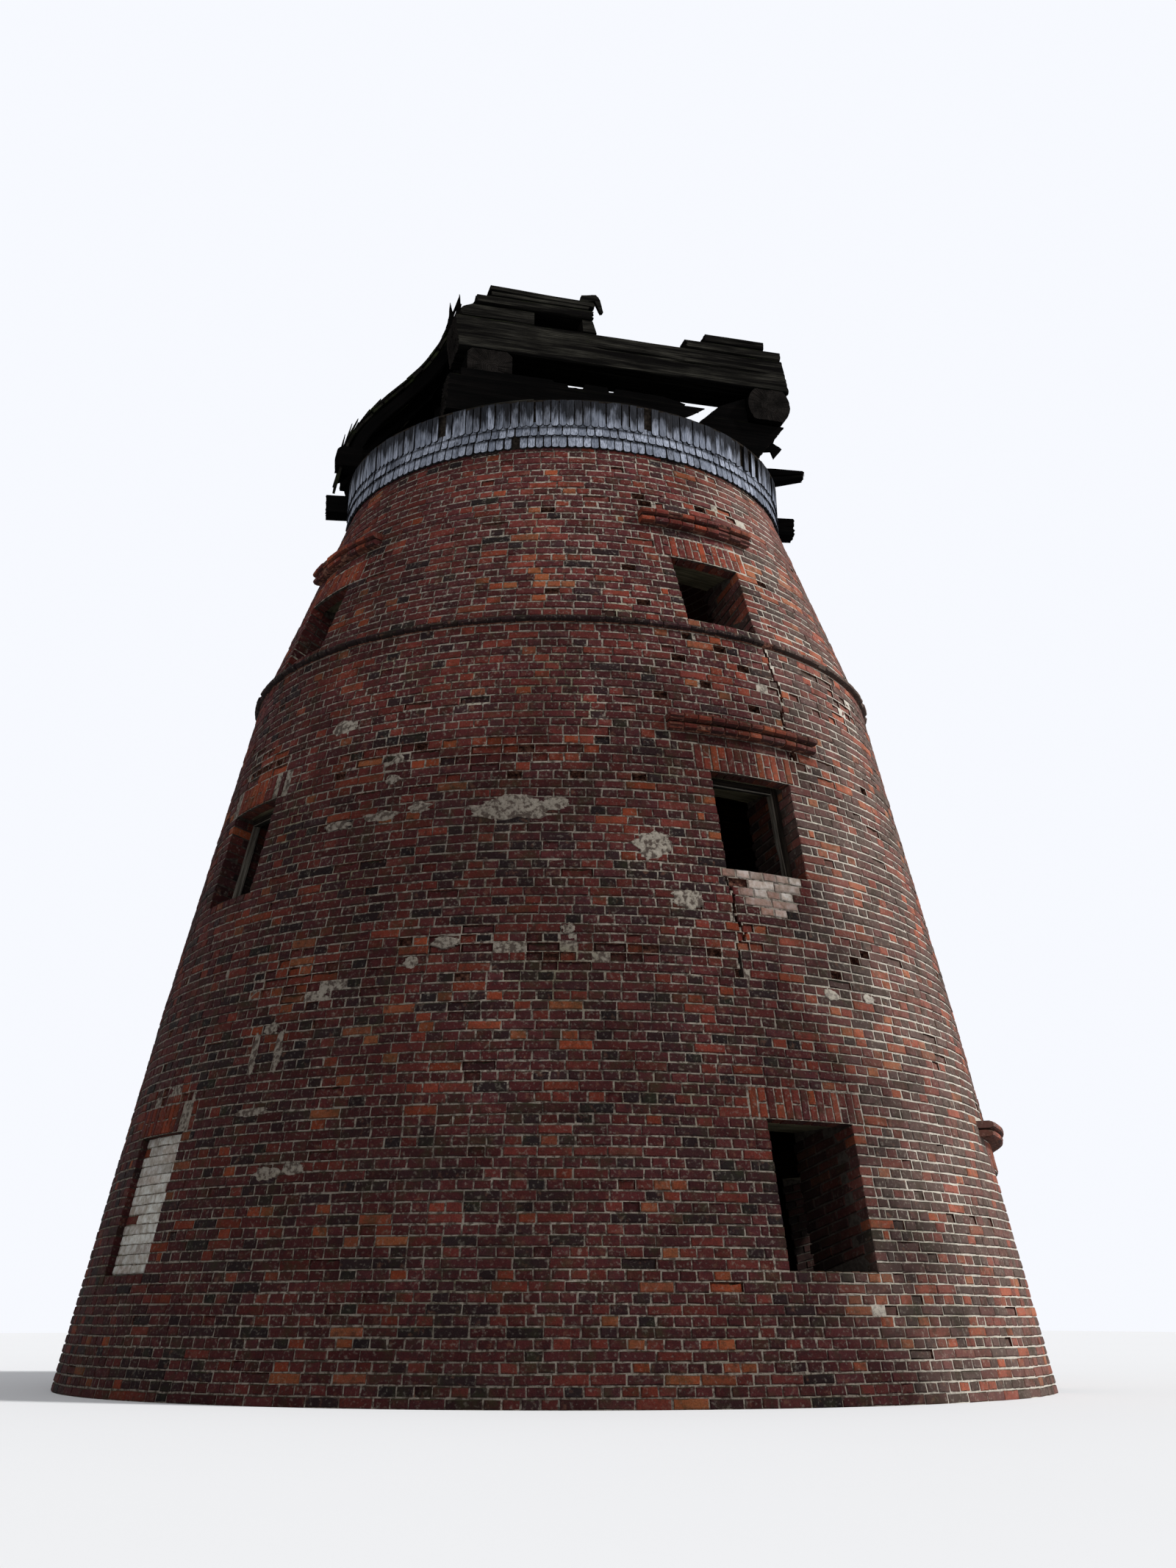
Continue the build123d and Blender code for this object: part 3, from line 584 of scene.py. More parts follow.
@cache
def laying_tree():
    """Pieces on points, which give form, angles and size; the seed gives a little spread."""
    tree = bpy.data.node_groups.new("laid_pieces", "GeometryNodeTree")
    tree.interface.new_socket(name="Geometry", in_out="OUTPUT", socket_type="NodeSocketGeometry")
    for name, kind in LAYING_INPUTS.items():
        tree.interface.new_socket(name=name, in_out="INPUT", socket_type="NodeSocket" + kind)
    add = partial(put, tree)
    given = add("NodeGroupInput").outputs

    def spread(limit, first, kind):
        """Random value from -limit to limit."""
        least = add("ShaderNodeMath", [(0, limit), (1, -1.0)], operation="MULTIPLY")
        rows = [(first, least.outputs[0]), (first + 1, limit), ("Seed", given["Seed"])]
        return add("FunctionNodeRandomValue", rows, data_type=kind)

    def field(name, kind):
        return add("GeometryNodeInputNamedAttribute", [("Name", name)], data_type=kind).outputs[0]

    tilt = spread(given["Tilt"], 0, "FLOAT_VECTOR").outputs[0]
    total = add("ShaderNodeVectorMath", [(0, field("angles", "FLOAT_VECTOR")), (1, tilt)], operation="ADD")
    turned = add("FunctionNodeEulerToRotation", [(0, total.outputs[0])])
    rows = [(0, given["Forms"]), (1, True), (2, True)]
    forms = add("GeometryNodeCollectionInfo", rows, transform_space="ORIGINAL")
    rows = [
        ("Points", given["Geometry"]),
        ("Instance", forms.outputs[0]),
        ("Pick Instance", True),
        ("Instance Index", field("form", "INT")),
        ("Rotation", turned.outputs[0]),
        ("Scale", field("size", "FLOAT_VECTOR")),
    ]
    laid = add("GeometryNodeInstanceOnPoints", rows)
    inward = add("ShaderNodeCombineXYZ", [("Y", spread(given["Push"], 2, "FLOAT").outputs[1])])
    rows = [("Instances", laid.outputs[0]), ("Translation", inward.outputs[0])]
    moved = add("GeometryNodeTranslateInstances", rows)
    real = add("GeometryNodeRealizeInstances", [(0, moved.outputs[0])])
    rows = [("Geometry", real.outputs[0]), ("Material", given["Material"])]
    dressed = add("GeometryNodeSetMaterial", rows)
    add("NodeGroupOutput", [(0, dressed.outputs[0])])
    return tree


class Bed:
    """Points that pieces are laid on. The last column is whitewash or, below 0, painted shade."""

    COLUMNS = {
        "angles": "FLOAT_VECTOR", "size": "FLOAT_VECTOR", "form": "INT", "tone": "FLOAT", "lime": "FLOAT",
    }

    def __init__(self):
        self.rows = []

    def add(self, place, angles, size, form, tone=0.5, lime=0.0):
        self.rows.append((tuple(place), tuple(angles), tuple(size), form, tone, lime))

    def lay(self, name, book, material, tilt, push, seed):
        """Lay the pieces and give them back as a plain mesh."""
        mesh = bpy.data.meshes.new(name)
        mesh.from_pydata([row[0] for row in self.rows], [], [])
        for column, (label, kind) in enumerate(self.COLUMNS.items(), 1):
            field = mesh.attributes.new(label, kind, "POINT")
            values = np.array([row[column] for row in self.rows]).ravel()
            field.data.foreach_set("vector" if kind == "FLOAT_VECTOR" else "value", values)
        holder = mesh_object(name + "_bed", mesh)
        laying = holder.modifiers.new("laying", "NODES")
        laying.node_group = laying_tree()
        values = {"Forms": book.collection, "Tilt": tilt, "Push": push, "Seed": seed, "Material": material}
        for item in laying.node_group.interface.items_tree:
            if item.in_out == "INPUT" and item.name in values:
                laying[item.identifier] = values[item.name]
        view = bpy.context.evaluated_depsgraph_get()
        made = bpy.data.meshes.new_from_object(holder.evaluated_get(view))
        bpy.data.objects.remove(holder)
        if min(row[0][2] for row in self.rows) < 0.2:
            self.keep_inside(made)
        return made

    def lay_bricks(self, name, spread):
        sizes = brickwork()
        return self.lay(name, brick_book(), brick_material(), sizes.tilt, sizes.push, sizes.seed + spread)

    @staticmethod
    def keep_inside(mesh):
        """Hold the foot of the wall inside the tower's base and above the ground."""
        for vert in mesh.vertices:
            far = math.hypot(vert.co.x, vert.co.y)
            inward = min(1.0, (PROFILE[0][1] - 0.0015) / far) if far else 1.0
            vert.co = (vert.co.x * inward, vert.co.y * inward, max(vert.co.z, 0.0005))


# Forms that the laying tree picks from

class FormBook:
    """A hidden collection of forms; each kind has a few shapes, and pick() draws one of them."""

    def __init__(self, name, seed):
        self.collection = bpy.data.collections.new(name)
        self.kinds = {}
        self.count = 0
        self.draw = random.Random(seed)

    def add(self, times, *rows):
        """Add shapes, given as (kind, function, its sizes, its settings)."""
        for _ in range(times):
            for kind, shape, sizes, settings in rows:
                verts, faces = shape(*sizes, self.draw, **settings)
                mesh = tidy_mesh(f"{kind}_{self.count}", verts, faces, [])
                self.collection.objects.link(bpy.data.objects.new(f"form_{self.count:03d}_{kind}", mesh))
                self.kinds.setdefault(kind, []).append(self.count)
                self.count += 1

    def pick(self, kind, draw):
        return draw.choice(self.kinds[kind])


def brick_shape(width, depth, height, draw, shear=0.0, spall=0.0):
    """Brick with its worn face at y = 0 and its body behind it; shear follows a slanting jamb."""
    worn = 0.006 + spall * 0.25
    columns = (-0.5, draw.uniform(-0.12, 0.12), 0.5)
    verts = []
    for row in (-0.5, 0.5):
        for column in columns:
            corner = (abs(column) == 0.5) * draw.uniform(0.4, 1.9)
            x = column * width - math.copysign(worn, column) * corner
            z = row * height - math.copysign(worn, row) * draw.uniform(0.4, 1.7)
            verts.append((x, spall * draw.uniform(0.5, 1.4) + draw.uniform(-0.0015, 0.0015), z))
    for row in (-0.5, 0.5):
        for column in columns:
            lip = worn * draw.uniform(0.7, 1.3) + spall * draw.uniform(0.2, 1.0)
            x = column * width + draw.uniform(-0.004, 0.002)
            verts.append((x, lip, row * height + draw.uniform(-0.003, 0.001)))
    for row in (-0.5, 0.5):
        for column in (-0.5, 0.5):
            verts.append((column * width + shear * depth, depth, row * height))
    faces = [(0, 1, 4, 3), (1, 2, 5, 4)]
    faces += [(6, 7, 1, 0), (7, 8, 2, 1), (3, 4, 10, 9), (4, 5, 11, 10), (6, 0, 3, 9), (2, 8, 11, 5)]
    faces += [(12, 13, 8, 7, 6), (9, 10, 11, 15, 14), (6, 9, 14, 12), (8, 13, 15, 11), (12, 14, 15, 13)]
    return verts, faces


def nose_shape(width, depth, height, draw, broken=0.0):
    """Moulded brick with a rounded nose at y = 0, for the projecting courses."""
    nose, edge = height / 2, 0.005
    profile = []
    for step in range(7):
        angle = math.pi * (step / 6 - 0.5)
        bite = 1.0 + broken * draw.uniform(0.0, 1.0)
        profile.append((nose - nose * math.cos(angle) / bite, nose * math.sin(angle)))
    profile += [(depth, nose), (depth, -nose)]
    size = len(profile)
    side = width / 2
    verts, faces = [], []
    for x, shrink in ((-side, edge), (edge - side, 0.0), (side - edge, 0.0), (side, edge)):
        for y, z in profile:
            scale = 1.0 - shrink / nose if y < depth else 1.0
            verts.append((x, y + shrink * (y < depth) + draw.uniform(-0.001, 0.0015), z * scale))
    for i in range(3):
        faces += band(i * size, (i + 1) * size, size)
    return verts, faces + [tuple(range(size)), tuple(range(3 * size, 4 * size))]


def shingle_shape(width, height, thickness, draw, square=False):
    """Shingle that hangs down: top edge at z = 0, its face at y = 0, with a rounded foot."""
    round_foot = width * 0.35
    outline = [(-width / 2, 0.0), (-width / 2 * draw.uniform(0.94, 1.0), -height + round_foot)]
    if square:
        for across, least, most in ((-0.46, 0.93, 1.0), (0.1, 0.85, 1.0), (0.46, 0.9, 1.0)):
            outline.append((width * across, -height * draw.uniform(least, most)))
    else:
        for step in range(1, 6):
            angle = math.pi * step / 6
            drop = -height + round_foot - math.sin(angle) * round_foot
            side = -math.cos(angle) * width / 2 * draw.uniform(0.94, 1.0)
            outline.append((side, drop * draw.uniform(0.99, 1.01)))
    outline += [(width / 2 * draw.uniform(0.94, 1.0), -height + round_foot), (width / 2, 0.0)]
    warp = draw.uniform(-0.003, 0.003)
    verts = [(x, warp * x / width - 0.002 * draw.random(), z) for x, z in outline]
    verts += [(x, thickness * (0.35 + 0.65 * min(1.0, -z / height)), z) for x, z in outline]
    return verts, slab_faces(len(outline))


def board_shape(draw):
    """Board of unit length along x, unit width along z and unit thickness along y, with rough ends."""
    verts, faces = [], []
    for x in (-0.5, -0.17, 0.17, 0.5):
        for y, z in ((0.0, -0.49), (0.0, 0.49), (0.12, 0.5), (1.0, 0.5), (1.0, -0.5), (0.12, -0.5)):
            torn = (abs(x) == 0.5) * draw.uniform(-0.004, 0.004)
            verts.append((x + torn, y, z + draw.uniform(-0.015, 0.0)))
    for i in range(3):
        faces += band(6 * i, 6 * i + 6, 6)
    return verts, faces + [tuple(range(6)), tuple(range(18, 24))]


@cache
def brick_book():
    """Forms of bricks at their true size."""
    sizes = brickwork()
    book = FormBook("brick_forms", sizes.seed)
    long, wide, high = sizes.brick_length, sizes.brick_width, sizes.brick_height
    nose = (wide, NOSE_BODY, COURSE_HEIGHT)
    spalled = {"spall": 0.018}
    slant = math.tan(math.radians(8.3))
    book.add(
        10,
        ("stretcher", brick_shape, (long, BRICK_BODY, high), {}),
        ("header", brick_shape, (wide, BRICK_BODY, high), {}),
    )
    book.add(
        3,
        ("closer", brick_shape, (wide / 2, BRICK_BODY, high), {}),
        ("spalled_stretcher", brick_shape, (long, SPALLED_BODY, high), spalled),
        ("spalled_header", brick_shape, (wide, SPALLED_BODY, high), spalled),
        ("soldier", brick_shape, (high, wide, long), {}),
        ("half_soldier", brick_shape, (high, wide, wide), {}),
        ("nose", nose_shape, nose, {}),
    )
    for side, shear in (("left", -slant), ("right", slant)):
        book.add(
            2,
            (f"stretcher_{side}", brick_shape, (long, wide, high), {"shear": shear}),
            (f"header_{side}", brick_shape, (wide, long, high), {"shear": shear}),
        )
    book.add(3, ("broken_nose", nose_shape, nose, {"broken": 0.9}))
    return book


SHINGLE_TALL = 0.25


@cache
def shingle_book():
    """Forms of shingles and boards, scaled where they hang or lie."""
    sizes = shingles()
    book = FormBook("shingle_forms", sizes.seed)
    width = sizes.width - 0.007
    book.add(5, ("round", shingle_shape, (width, SHINGLE_TALL, sizes.thickness), {}))
    book.add(5, ("ragged", shingle_shape, (width * 1.15, SHINGLE_TALL, sizes.thickness), {"square": True}))
    book.add(3, ("board", board_shape, (), {}))
    return book


# Materials

class Finish:
    """A material while it is mixed: its nodes, its Object coordinates and its colour so far."""

    def __init__(self, name, roughness, gloss=0.06):
        self.made = bpy.data.materials.new(name)
        self.made.use_nodes = True
        self.made.node_tree.nodes.clear()
        self.add = partial(put, self.made.node_tree)
        rows = [("Roughness", roughness), ("Specular IOR Level", gloss)]
        self.shader = self.add("ShaderNodeBsdfPrincipled", rows)
        self.add("ShaderNodeOutputMaterial", [(0, self.shader.outputs[0])])
        self.coords = self.add("ShaderNodeTexCoord").outputs["Object"]
        self.apart = self.add("ShaderNodeSeparateXYZ", [(0, self.coords)]).outputs
        self.tints = bpy.context.scene.mill_colours
        self.base = None

    def calc(self, how, first, second=0.0):
        return self.add("ShaderNodeMath", [(0, first), (1, second)], operation=how).outputs[0]

    def times(self, first, second):
        return self.calc("MULTIPLY", first, second)

    def plus(self, first, second):
        return self.calc("ADD", first, second)

    def positive(self, value):
        return self.calc("MAXIMUM", value)

    def vector(self, how, first, second=(0.0, 0.0, 0.0)):
        return self.add("ShaderNodeVectorMath", [(0, first), (1, second)], operation=how).outputs

    def attribute(self, name):
        return self.add("ShaderNodeAttribute", attribute_name=name, attribute_type="GEOMETRY").outputs["Fac"]

    def own_grain(self):
        """The piece's own UV map, whose first axis runs with the grain."""
        return self.add("ShaderNodeUVMap", uv_map="grain").outputs[0]

    def chance(self, value):
        """A random value for each tone."""
        return self.add("ShaderNodeTexWhiteNoise", [("W", value)], noise_dimensions="1D").outputs[0]

    def grains(self, scale, detail=4.0, roughness=0.55, stretch=None, vector=None):
        """Noise between 0 and 1, stretched where the surface has a grain."""
        vector = self.coords if vector is None else vector
        if stretch is not None:
            vector = self.add("ShaderNodeMapping", [("Vector", vector), ("Scale", stretch)]).outputs[0]
        rows = [("Vector", vector), ("Scale", scale), ("Detail", detail), ("Roughness", roughness)]
        return self.add("ShaderNodeTexNoise", rows).outputs[0]

    def ramp(self, factor, *stops):
        """Colours or values between stops of (place, colour)."""
        made = self.add("ShaderNodeValToRGB", [(0, factor)])
        points = made.color_ramp.elements
        while len(points) < len(stops):
            points.new(0.5)
        for point, (place, shade) in zip(points, stops):
            point.position = place
            point.color = shade if hasattr(shade, "__len__") else (shade, shade, shade, 1.0)
        return made.outputs[0]

    def mixed(self, factor, first, second, how="MIX"):
        rows = [(0, factor), (6, first), (7, second)]
        return self.add("ShaderNodeMix", rows, data_type="RGBA", blend_type=how).outputs[2]

    def over(self, shade, factor, *stops):
        """Lay a colour over what is there, by a value or by a ramp of it."""
        self.base = self.mixed(self.ramp(factor, *stops) if stops else factor, self.base, shade)

    def darken(self, factor, *stops):
        """Multiply what is there by a ramp."""
        self.base = self.mixed(1.0, self.base, self.ramp(factor, *stops), "MULTIPLY")

    def facing(self):
        return self.add("ShaderNodeNewGeometry").outputs["Normal"]

    def facing_up(self):
        return self.add("ShaderNodeSeparateXYZ", [(0, self.facing())]).outputs["Z"]

    def up_facing(self):
        """How far the surface faces up: a half on walls, 1 on top."""
        return self.calc("MAXIMUM", self.facing_up(), 0.5)

    def down_facing(self):
        """How far the surface faces down, 0 to 1."""
        return self.positive(self.times(self.facing_up(), -1.0))

    def away_from_axis(self, other):
        """Product of a direction with the one away from the tower's axis."""
        flat = self.vector("MULTIPLY", self.coords, (1.0, 1.0, 0.0))[0]
        return self.vector("DOT_PRODUCT", self.vector("NORMALIZE", flat)[0], other)["Value"]

    def out_facing(self):
        """How far the surface faces away from the tower's axis, 0 to 1."""
        return self.away_from_axis(self.facing())

    def bleached(self):
        """The side that faces the key light, 0 to 1: the sun has greyed its bricks and whitened its joints,
        and it carries painted light as well.
        """
        patchy = self.times(self.calc("SUBTRACT", self.grains(1.1, 5.0, 0.6), 0.5), 0.5)
        side = self.plus(self.away_from_axis(tuple(outward(55.0))), patchy)
        return self.ramp(side, (0.58, 0.0), (0.88, 1.0))

    def damp_and_shade(self):
        """How sooty and wet the wall is, 0 to 1: more at the foot and in clouds, with painted shade added on
        the side away from the key light and less on the side that faces it.
        """
        height = self.calc("DIVIDE", self.apart["Z"], PROFILE[-1][0])
        rise = self.ramp(height, (0.0, 0.80), (0.45, 0.68), (0.72, 0.36), (0.86, 0.12))
        cloud = self.ramp(self.grains(0.8, 6.0, 0.62), (0.34, 0.0), (0.66, 0.55))
        # Painted shade: the side away from the key light is darkened.
        shady = self.ramp(self.away_from_axis(tuple(outward(262.0))), (0.55, 0.0), (0.90, 0.22))
        # Less of it on the side that faces the key light: drier there, and painted light as well.
        dry_and_lit_side = self.calc("SUBTRACT", 1.0, self.times(self.bleached(), 0.8))
        return self.times(self.plus(rise, self.plus(cloud, shady)), dry_and_lit_side)

    def done(self, heights, distance):
        """Join the colour, and a relief from (noise, share) rows, to the shader."""
        link = self.made.node_tree.links.new
        link(self.base, self.shader.inputs["Base Color"])
        total = None
        for field, part in heights:
            scaled = self.times(field, part)
            total = scaled if total is None else self.plus(total, scaled)
        if heights:
            bump = self.add("ShaderNodeBump", [("Height", total), ("Distance", distance), ("Strength", 0.9)])
            link(bump.outputs[0], self.shader.inputs["Normal"])
        return self.made


@cache
def brick_material():
    """Brick: the tone picks the colour, and soot, bloom and lichen go over it, with painted light on the side
    that faces the key light and painted shade on the far side, under each brick and deep in the reveals.
    """
    mix = Finish("old_brick", 0.92)
    tints = mix.tints
    tone, lime = mix.attribute("tone"), mix.attribute("lime")
    fine = mix.grains(90.0)
    blotch = mix.grains(15.0, 5.0, 0.62)
    cloud = mix.grains(2.2, 5.0)
    drift = mix.times(mix.calc("SUBTRACT", blotch, 0.5), 0.30)
    drift = mix.plus(drift, mix.times(mix.calc("SUBTRACT", cloud, 0.5), 0.45))
    mix.base = mix.ramp(
        mix.plus(tone, drift),
        (0.05, tints.black),
        (0.24, tints.maroon),
        (0.44, tints.maroon),
        (0.68, tints.red),
        (0.86, tints.orange),
        (1.0, tints.ochre),
    )
    # Painted light with sun bleaching: black bricks turn grey on the side that faces the key light.
    black = mix.mixed(mix.bleached(), tints.black, srgb(70, 58, 55))
    mix.over(black, tone, (0.10, 0.9), (0.26, 0.0))
    mix.over(srgb(80, 48, 51), mix.chance(tone), (0.35, 0.0), (1.0, 0.5))
    mix.darken(mix.chance(mix.times(tone, 7.3)), (0.0, 0.62), (1.0, 1.18))
    mix.darken(fine, (0.25, 0.66), (0.75, 1.2))
    mix.over(tints.black, blotch, (0.52, 0.0), (0.70, 0.6))
    mix.over(srgb(146, 104, 84), blotch, (0.28, 0.4), (0.42, 0.0))
    mix.over(tints.mortar, mix.grains(34.0), (0.56, 0.0), (0.74, 0.42))
    # Darker where sooty and wet, with painted shade on the side away from the key light.
    mix.darken(mix.damp_and_shade(), (0.1, 1.12), (1.0, 0.42))
    # Painted light with sun bleaching: the side that faces the key light is paler.
    mix.over(srgb(196, 170, 152), mix.times(mix.bleached(), 0.14))
    growth = mix.times(mix.up_facing(), mix.grains(6.0))
    mix.over(srgb(36, 38, 22), growth, (0.26, 0.0), (0.42, 0.8))
    # Painted shade: faces that face down, such as the lower edge of each brick, are darkened.
    mix.over(srgb(24, 17, 16), mix.down_facing(), (0.30, 0.0), (0.62, 0.7))
    paint = mix.mixed(mix.ramp(blotch, (0.35, 0.0), (0.6, 0.75)), tints.lime, srgb(128, 118, 104))
    mix.over(paint, mix.positive(lime))
    # Painted shade: a negative last column darkens the bricks deep in the reveals.
    mix.over(srgb(20, 15, 14), mix.positive(mix.times(lime, -1.0)))
    return mix.done([(fine, 0.7), (blotch, 1.3), (mix.grains(220.0, 2.0), 0.3)], 0.006)


@cache
def mortar_material():
    """Lime mortar: sandy, stained where it is wet and nearly white where the sun bleached it, with painted
    light on the side that faces the key light and painted shade on the far side and in the joints' recesses.
    """
    mix = Finish("lime_mortar", 0.95)
    sand, crumbs = mix.grains(160.0, 3.0), mix.grains(26.0)
    mix.base = tuple(mix.tints.mortar)
    mix.over(srgb(104, 94, 84), sand, (0.3, 0.6), (0.7, 0.0))
    mix.over(srgb(198, 190, 176), crumbs, (0.5, 0.0), (0.75, 0.45))
    mix.over(srgb(112, 116, 70), mix.grains(1.3), (0.56, 0.0), (0.70, 0.5))
    mix.over(srgb(58, 46, 42), crumbs, (0.42, 0.85), (0.52, 0.0))
    # Darker where sooty and wet, with painted shade on the side away from the key light.
    mix.over(srgb(54, 45, 40), mix.damp_and_shade(), (0.30, 0.0), (1.0, 0.60))
    # Painted light with sun bleaching: joints nearly white on the side that faces the key light.
    mix.over(srgb(214, 206, 192), mix.times(mix.bleached(), 0.70))
    # Painted shade: faces that do not face outwards, in the recesses of the joints, are darkened.
    mix.over(srgb(34, 27, 24), mix.out_facing(), (0.2, 0.85), (0.7, 0.0))
    return mix.done([(sand, 0.4), (crumbs, 1.6)], 0.008)


@cache
def hole_material():
    """Broken brick and mortar in the shade of a hole."""
    mix = Finish("hole_rubble", 0.95)
    stops = (0.35, srgb(34, 22, 19)), (0.5, srgb(78, 48, 40)), (0.7, srgb(116, 84, 68))
    mix.base = mix.ramp(mix.grains(30.0, 5.0), *stops)
    return mix.done([(mix.grains(40.0), 2.0)], 0.010)


@cache
def inner_brick_material():
    """Brickwork inside the walls, where no brick is laid: the bond follows the round wall."""
    mix = Finish("inner_brickwork", 0.95)
    around = mix.times(mix.calc("ARCTAN2", mix.apart["Y"], mix.apart["X"]), 2.75)
    rows = [
        ("Vector", mix.add("ShaderNodeCombineXYZ", [("X", around), ("Y", mix.apart["Z"])]).outputs[0]),
        ("Color1", mix.tints.maroon),
        ("Color2", mix.tints.red),
        ("Mortar", mix.tints.mortar),
        ("Scale", 1.0),
        ("Mortar Size", 0.006),
        ("Mortar Smooth", 0.2),
        ("Brick Width", 0.262),
        ("Row Height", 0.077),
    ]
    bond = mix.add("ShaderNodeTexBrick", rows)
    fine = mix.grains(60.0)
    mix.base = bond.outputs[0]
    mix.darken(fine, (0.25, 0.6), (0.75, 1.15))
    mix.over(srgb(120, 112, 100), mix.grains(3.0, 6.0), (0.42, 0.0), (0.70, 0.35))
    # Painted shade: the whole inside of the walls is darkened, as it lies in the tower's shade.
    mix.base = mix.mixed(1.0, mix.base, srgb(120, 112, 108), "MULTIPLY")
    return mix.done([(bond.outputs["Fac"], -1.0), (fine, 0.3)], 0.006)


@cache
def wood_material(name, pale, dark, moss=0.0):
    """Weathered wood whose grain runs along the first axis of the piece's UV map."""
    mix = Finish(name, 0.85, 0.0)
    along = mix.own_grain()
    fibre = mix.grains(1.0, 6.0, 0.65, (3.0, 95.0, 1.0), along)
    streak = mix.grains(1.0, 5.0, 0.6, (0.9, 18.0, 1.0), along)
    mix.base = mix.mixed(mix.ramp(streak, (0.44, 0.0), (0.68, 1.0)), dark, pale)
    mix.over(mix.tints.oak_dark, fibre, (0.40, 0.85), (0.60, 0.0))
    mix.over(dark, mix.grains(2.6, 6.0, 0.6), (0.36, 0.55), (0.62, 0.0))
    if moss:
        growth = mix.times(mix.up_facing(), mix.grains(7.0, 5.0))
        mix.over(mix.tints.moss, growth, (0.34, 0.0), (0.55, moss))
    # Painted shade: faces that face down, such as the undersides of beams, are darkened.
    mix.over(srgb(5, 5, 5), mix.down_facing(), (0.3, 0.0), (0.8, 0.85))
    return mix.done([(fibre, 1.0), (streak, 0.6)], 0.006)


@cache
def end_grain_material():
    """Sawn or torn ends: rings and cracks round the pith, which is the middle of the UV map there."""
    mix = Finish("end_grain", 0.9, 0.0)
    across = mix.own_grain()
    warp = mix.add("ShaderNodeTexNoise", [("Vector", across), ("Scale", 6.0), ("Detail", 3.0)]).outputs[1]
    bent = mix.add("ShaderNodeMix", [(0, 0.06), (4, across), (5, warp)], data_type="VECTOR").outputs[1]
    far = mix.vector("LENGTH", bent)["Value"]
    wave = mix.calc("SINE", mix.times(far, 420.0))
    apart = mix.add("ShaderNodeSeparateXYZ", [(0, across)]).outputs
    spokes = mix.add("ShaderNodeCombineXYZ", [("X", mix.calc("ARCTAN2", apart["Y"], apart["X"])), ("Y", far)])
    cracks = mix.grains(1.0, 3.0, 0.6, (7.0, 3.0, 1.0), spokes.outputs[0])
    mix.base = srgb(36, 33, 31)
    mix.over(mix.tints.oak_dark, wave, (0.2, 0.0), (0.9, 0.6))
    mix.over(mix.tints.oak_dark, cracks, (0.30, 1.0), (0.42, 0.0))
    mix.over(mix.tints.oak_dark, mix.grains(9.0), (0.35, 0.7), (0.65, 0.0))
    return mix.done([(wave, 0.2), (cracks, 1.5)], 0.006)


@cache
def shingle_material(name, pale, dark, moss=0.0, on_skirt=False):
    """Shingle wood: the grain hangs with the shingle, and each shingle has its own tone; on the skirt, shade
    is painted into the gaps and under the foot of each row.
    """
    mix = Finish(name, 0.8, 0.03 if on_skirt else 0.0)
    fibre = mix.grains(1.0, 5.0, 0.6, (120.0, 120.0, 9.0))
    stain = mix.grains(1.0, 5.0, 0.6, (14.0, 14.0, 3.0))
    mix.base = mix.mixed(mix.attribute("tone"), dark, pale)
    mix.over(dark, fibre, (0.36, 0.85), (0.60, 0.0))
    if on_skirt:
        # The shingles grow darker towards the top of the skirt, under the curb.
        rise = mix.times(mix.calc("SUBTRACT", mix.apart["Z"], SKIRT_HIGH - 0.26), 1.5)
        stain = mix.plus(stain, mix.positive(rise))
    mix.over(mix.tints.oak_dark, stain, (0.54, 0.0), (0.76, 0.92))
    mix.over(srgb(22, 20, 20), mix.attribute("lime"))
    if on_skirt:
        # Painted shade: the sides of the shingles, in the gaps between them, are darkened near black.
        gap = srgb(12, 11, 13)
        mix.over(gap, mix.out_facing(), (0.45, 0.95), (0.85, 0.0))
        # Painted shadow: a dark band on each row just under the foot of the row that hangs over it.
        for level in skirt_rows()[1:]:
            below = mix.calc("SUBTRACT", level + 0.5, mix.apart["Z"])
            mix.over(gap, below, (0.492, 0.0), (0.500, 0.85), (0.512, 0.6), (0.530, 0.0))
    if moss:
        mix.over(mix.tints.moss, mix.grains(5.0, 5.0), (0.52, 0.0), (0.70, moss))
    return mix.done([(fibre, 1.0), (stain, 0.4)], 0.003)


@cache
def lintel_material():
    """Timber over an opening: its grain runs round the tower."""
    mix = Finish("lintel_oak", 0.88)
    far = mix.vector("LENGTH", mix.vector("MULTIPLY", mix.coords, (1.0, 1.0, 0.0))[0])["Value"]
    angle = mix.calc("ARCTAN2", mix.apart["Y"], mix.apart["X"])
    along = mix.add("ShaderNodeCombineXYZ", [("X", angle), ("Y", far), ("Z", mix.apart["Z"])]).outputs[0]
    fibre = mix.grains(1.0, 6.0, 0.65, (6.0, 60.0, 60.0), along)
    mix.base = mix.ramp(fibre, (0.3, srgb(40, 38, 30)), (0.5, srgb(84, 80, 62)), (0.7, srgb(116, 110, 90)))
    mix.over(srgb(44, 42, 32), mix.grains(4.0, 5.0), (0.45, 0.0), (0.7, 0.6))
    return mix.done([(fibre, 1.0)], 0.005)


@cache
def shade_backing_material():
    """Boards behind the skirt's shingles, in near black that paints the shade showing through the gaps
    between them.
    """
    mix = Finish("skirt_backing_painted_shade", 0.95, 0.0)
    mix.base = mix.ramp(mix.grains(30.0), (0.3, srgb(18, 16, 15)), (0.7, srgb(48, 43, 38)))
    return mix.done([], 0.0)


@cache
def stage_material():
    """Pale paper floor."""
    mix = Finish("stage_floor_paper", 0.9)
    mix.base = mix.ramp(mix.grains(0.2), (0.0, 0.80), (1.0, 0.84))
    mix.over(tuple(bpy.context.scene.mill_stage.floor), 0.5)
    return mix.done([], 0.0)


@cache
def oak_materials():
    """Side and end grain of the cap's lit timbers."""
    pale = tuple(bpy.context.scene.mill_colours.oak)
    return wood_material("weathered_oak", pale, srgb(17, 16, 15), moss=0.5), end_grain_material()


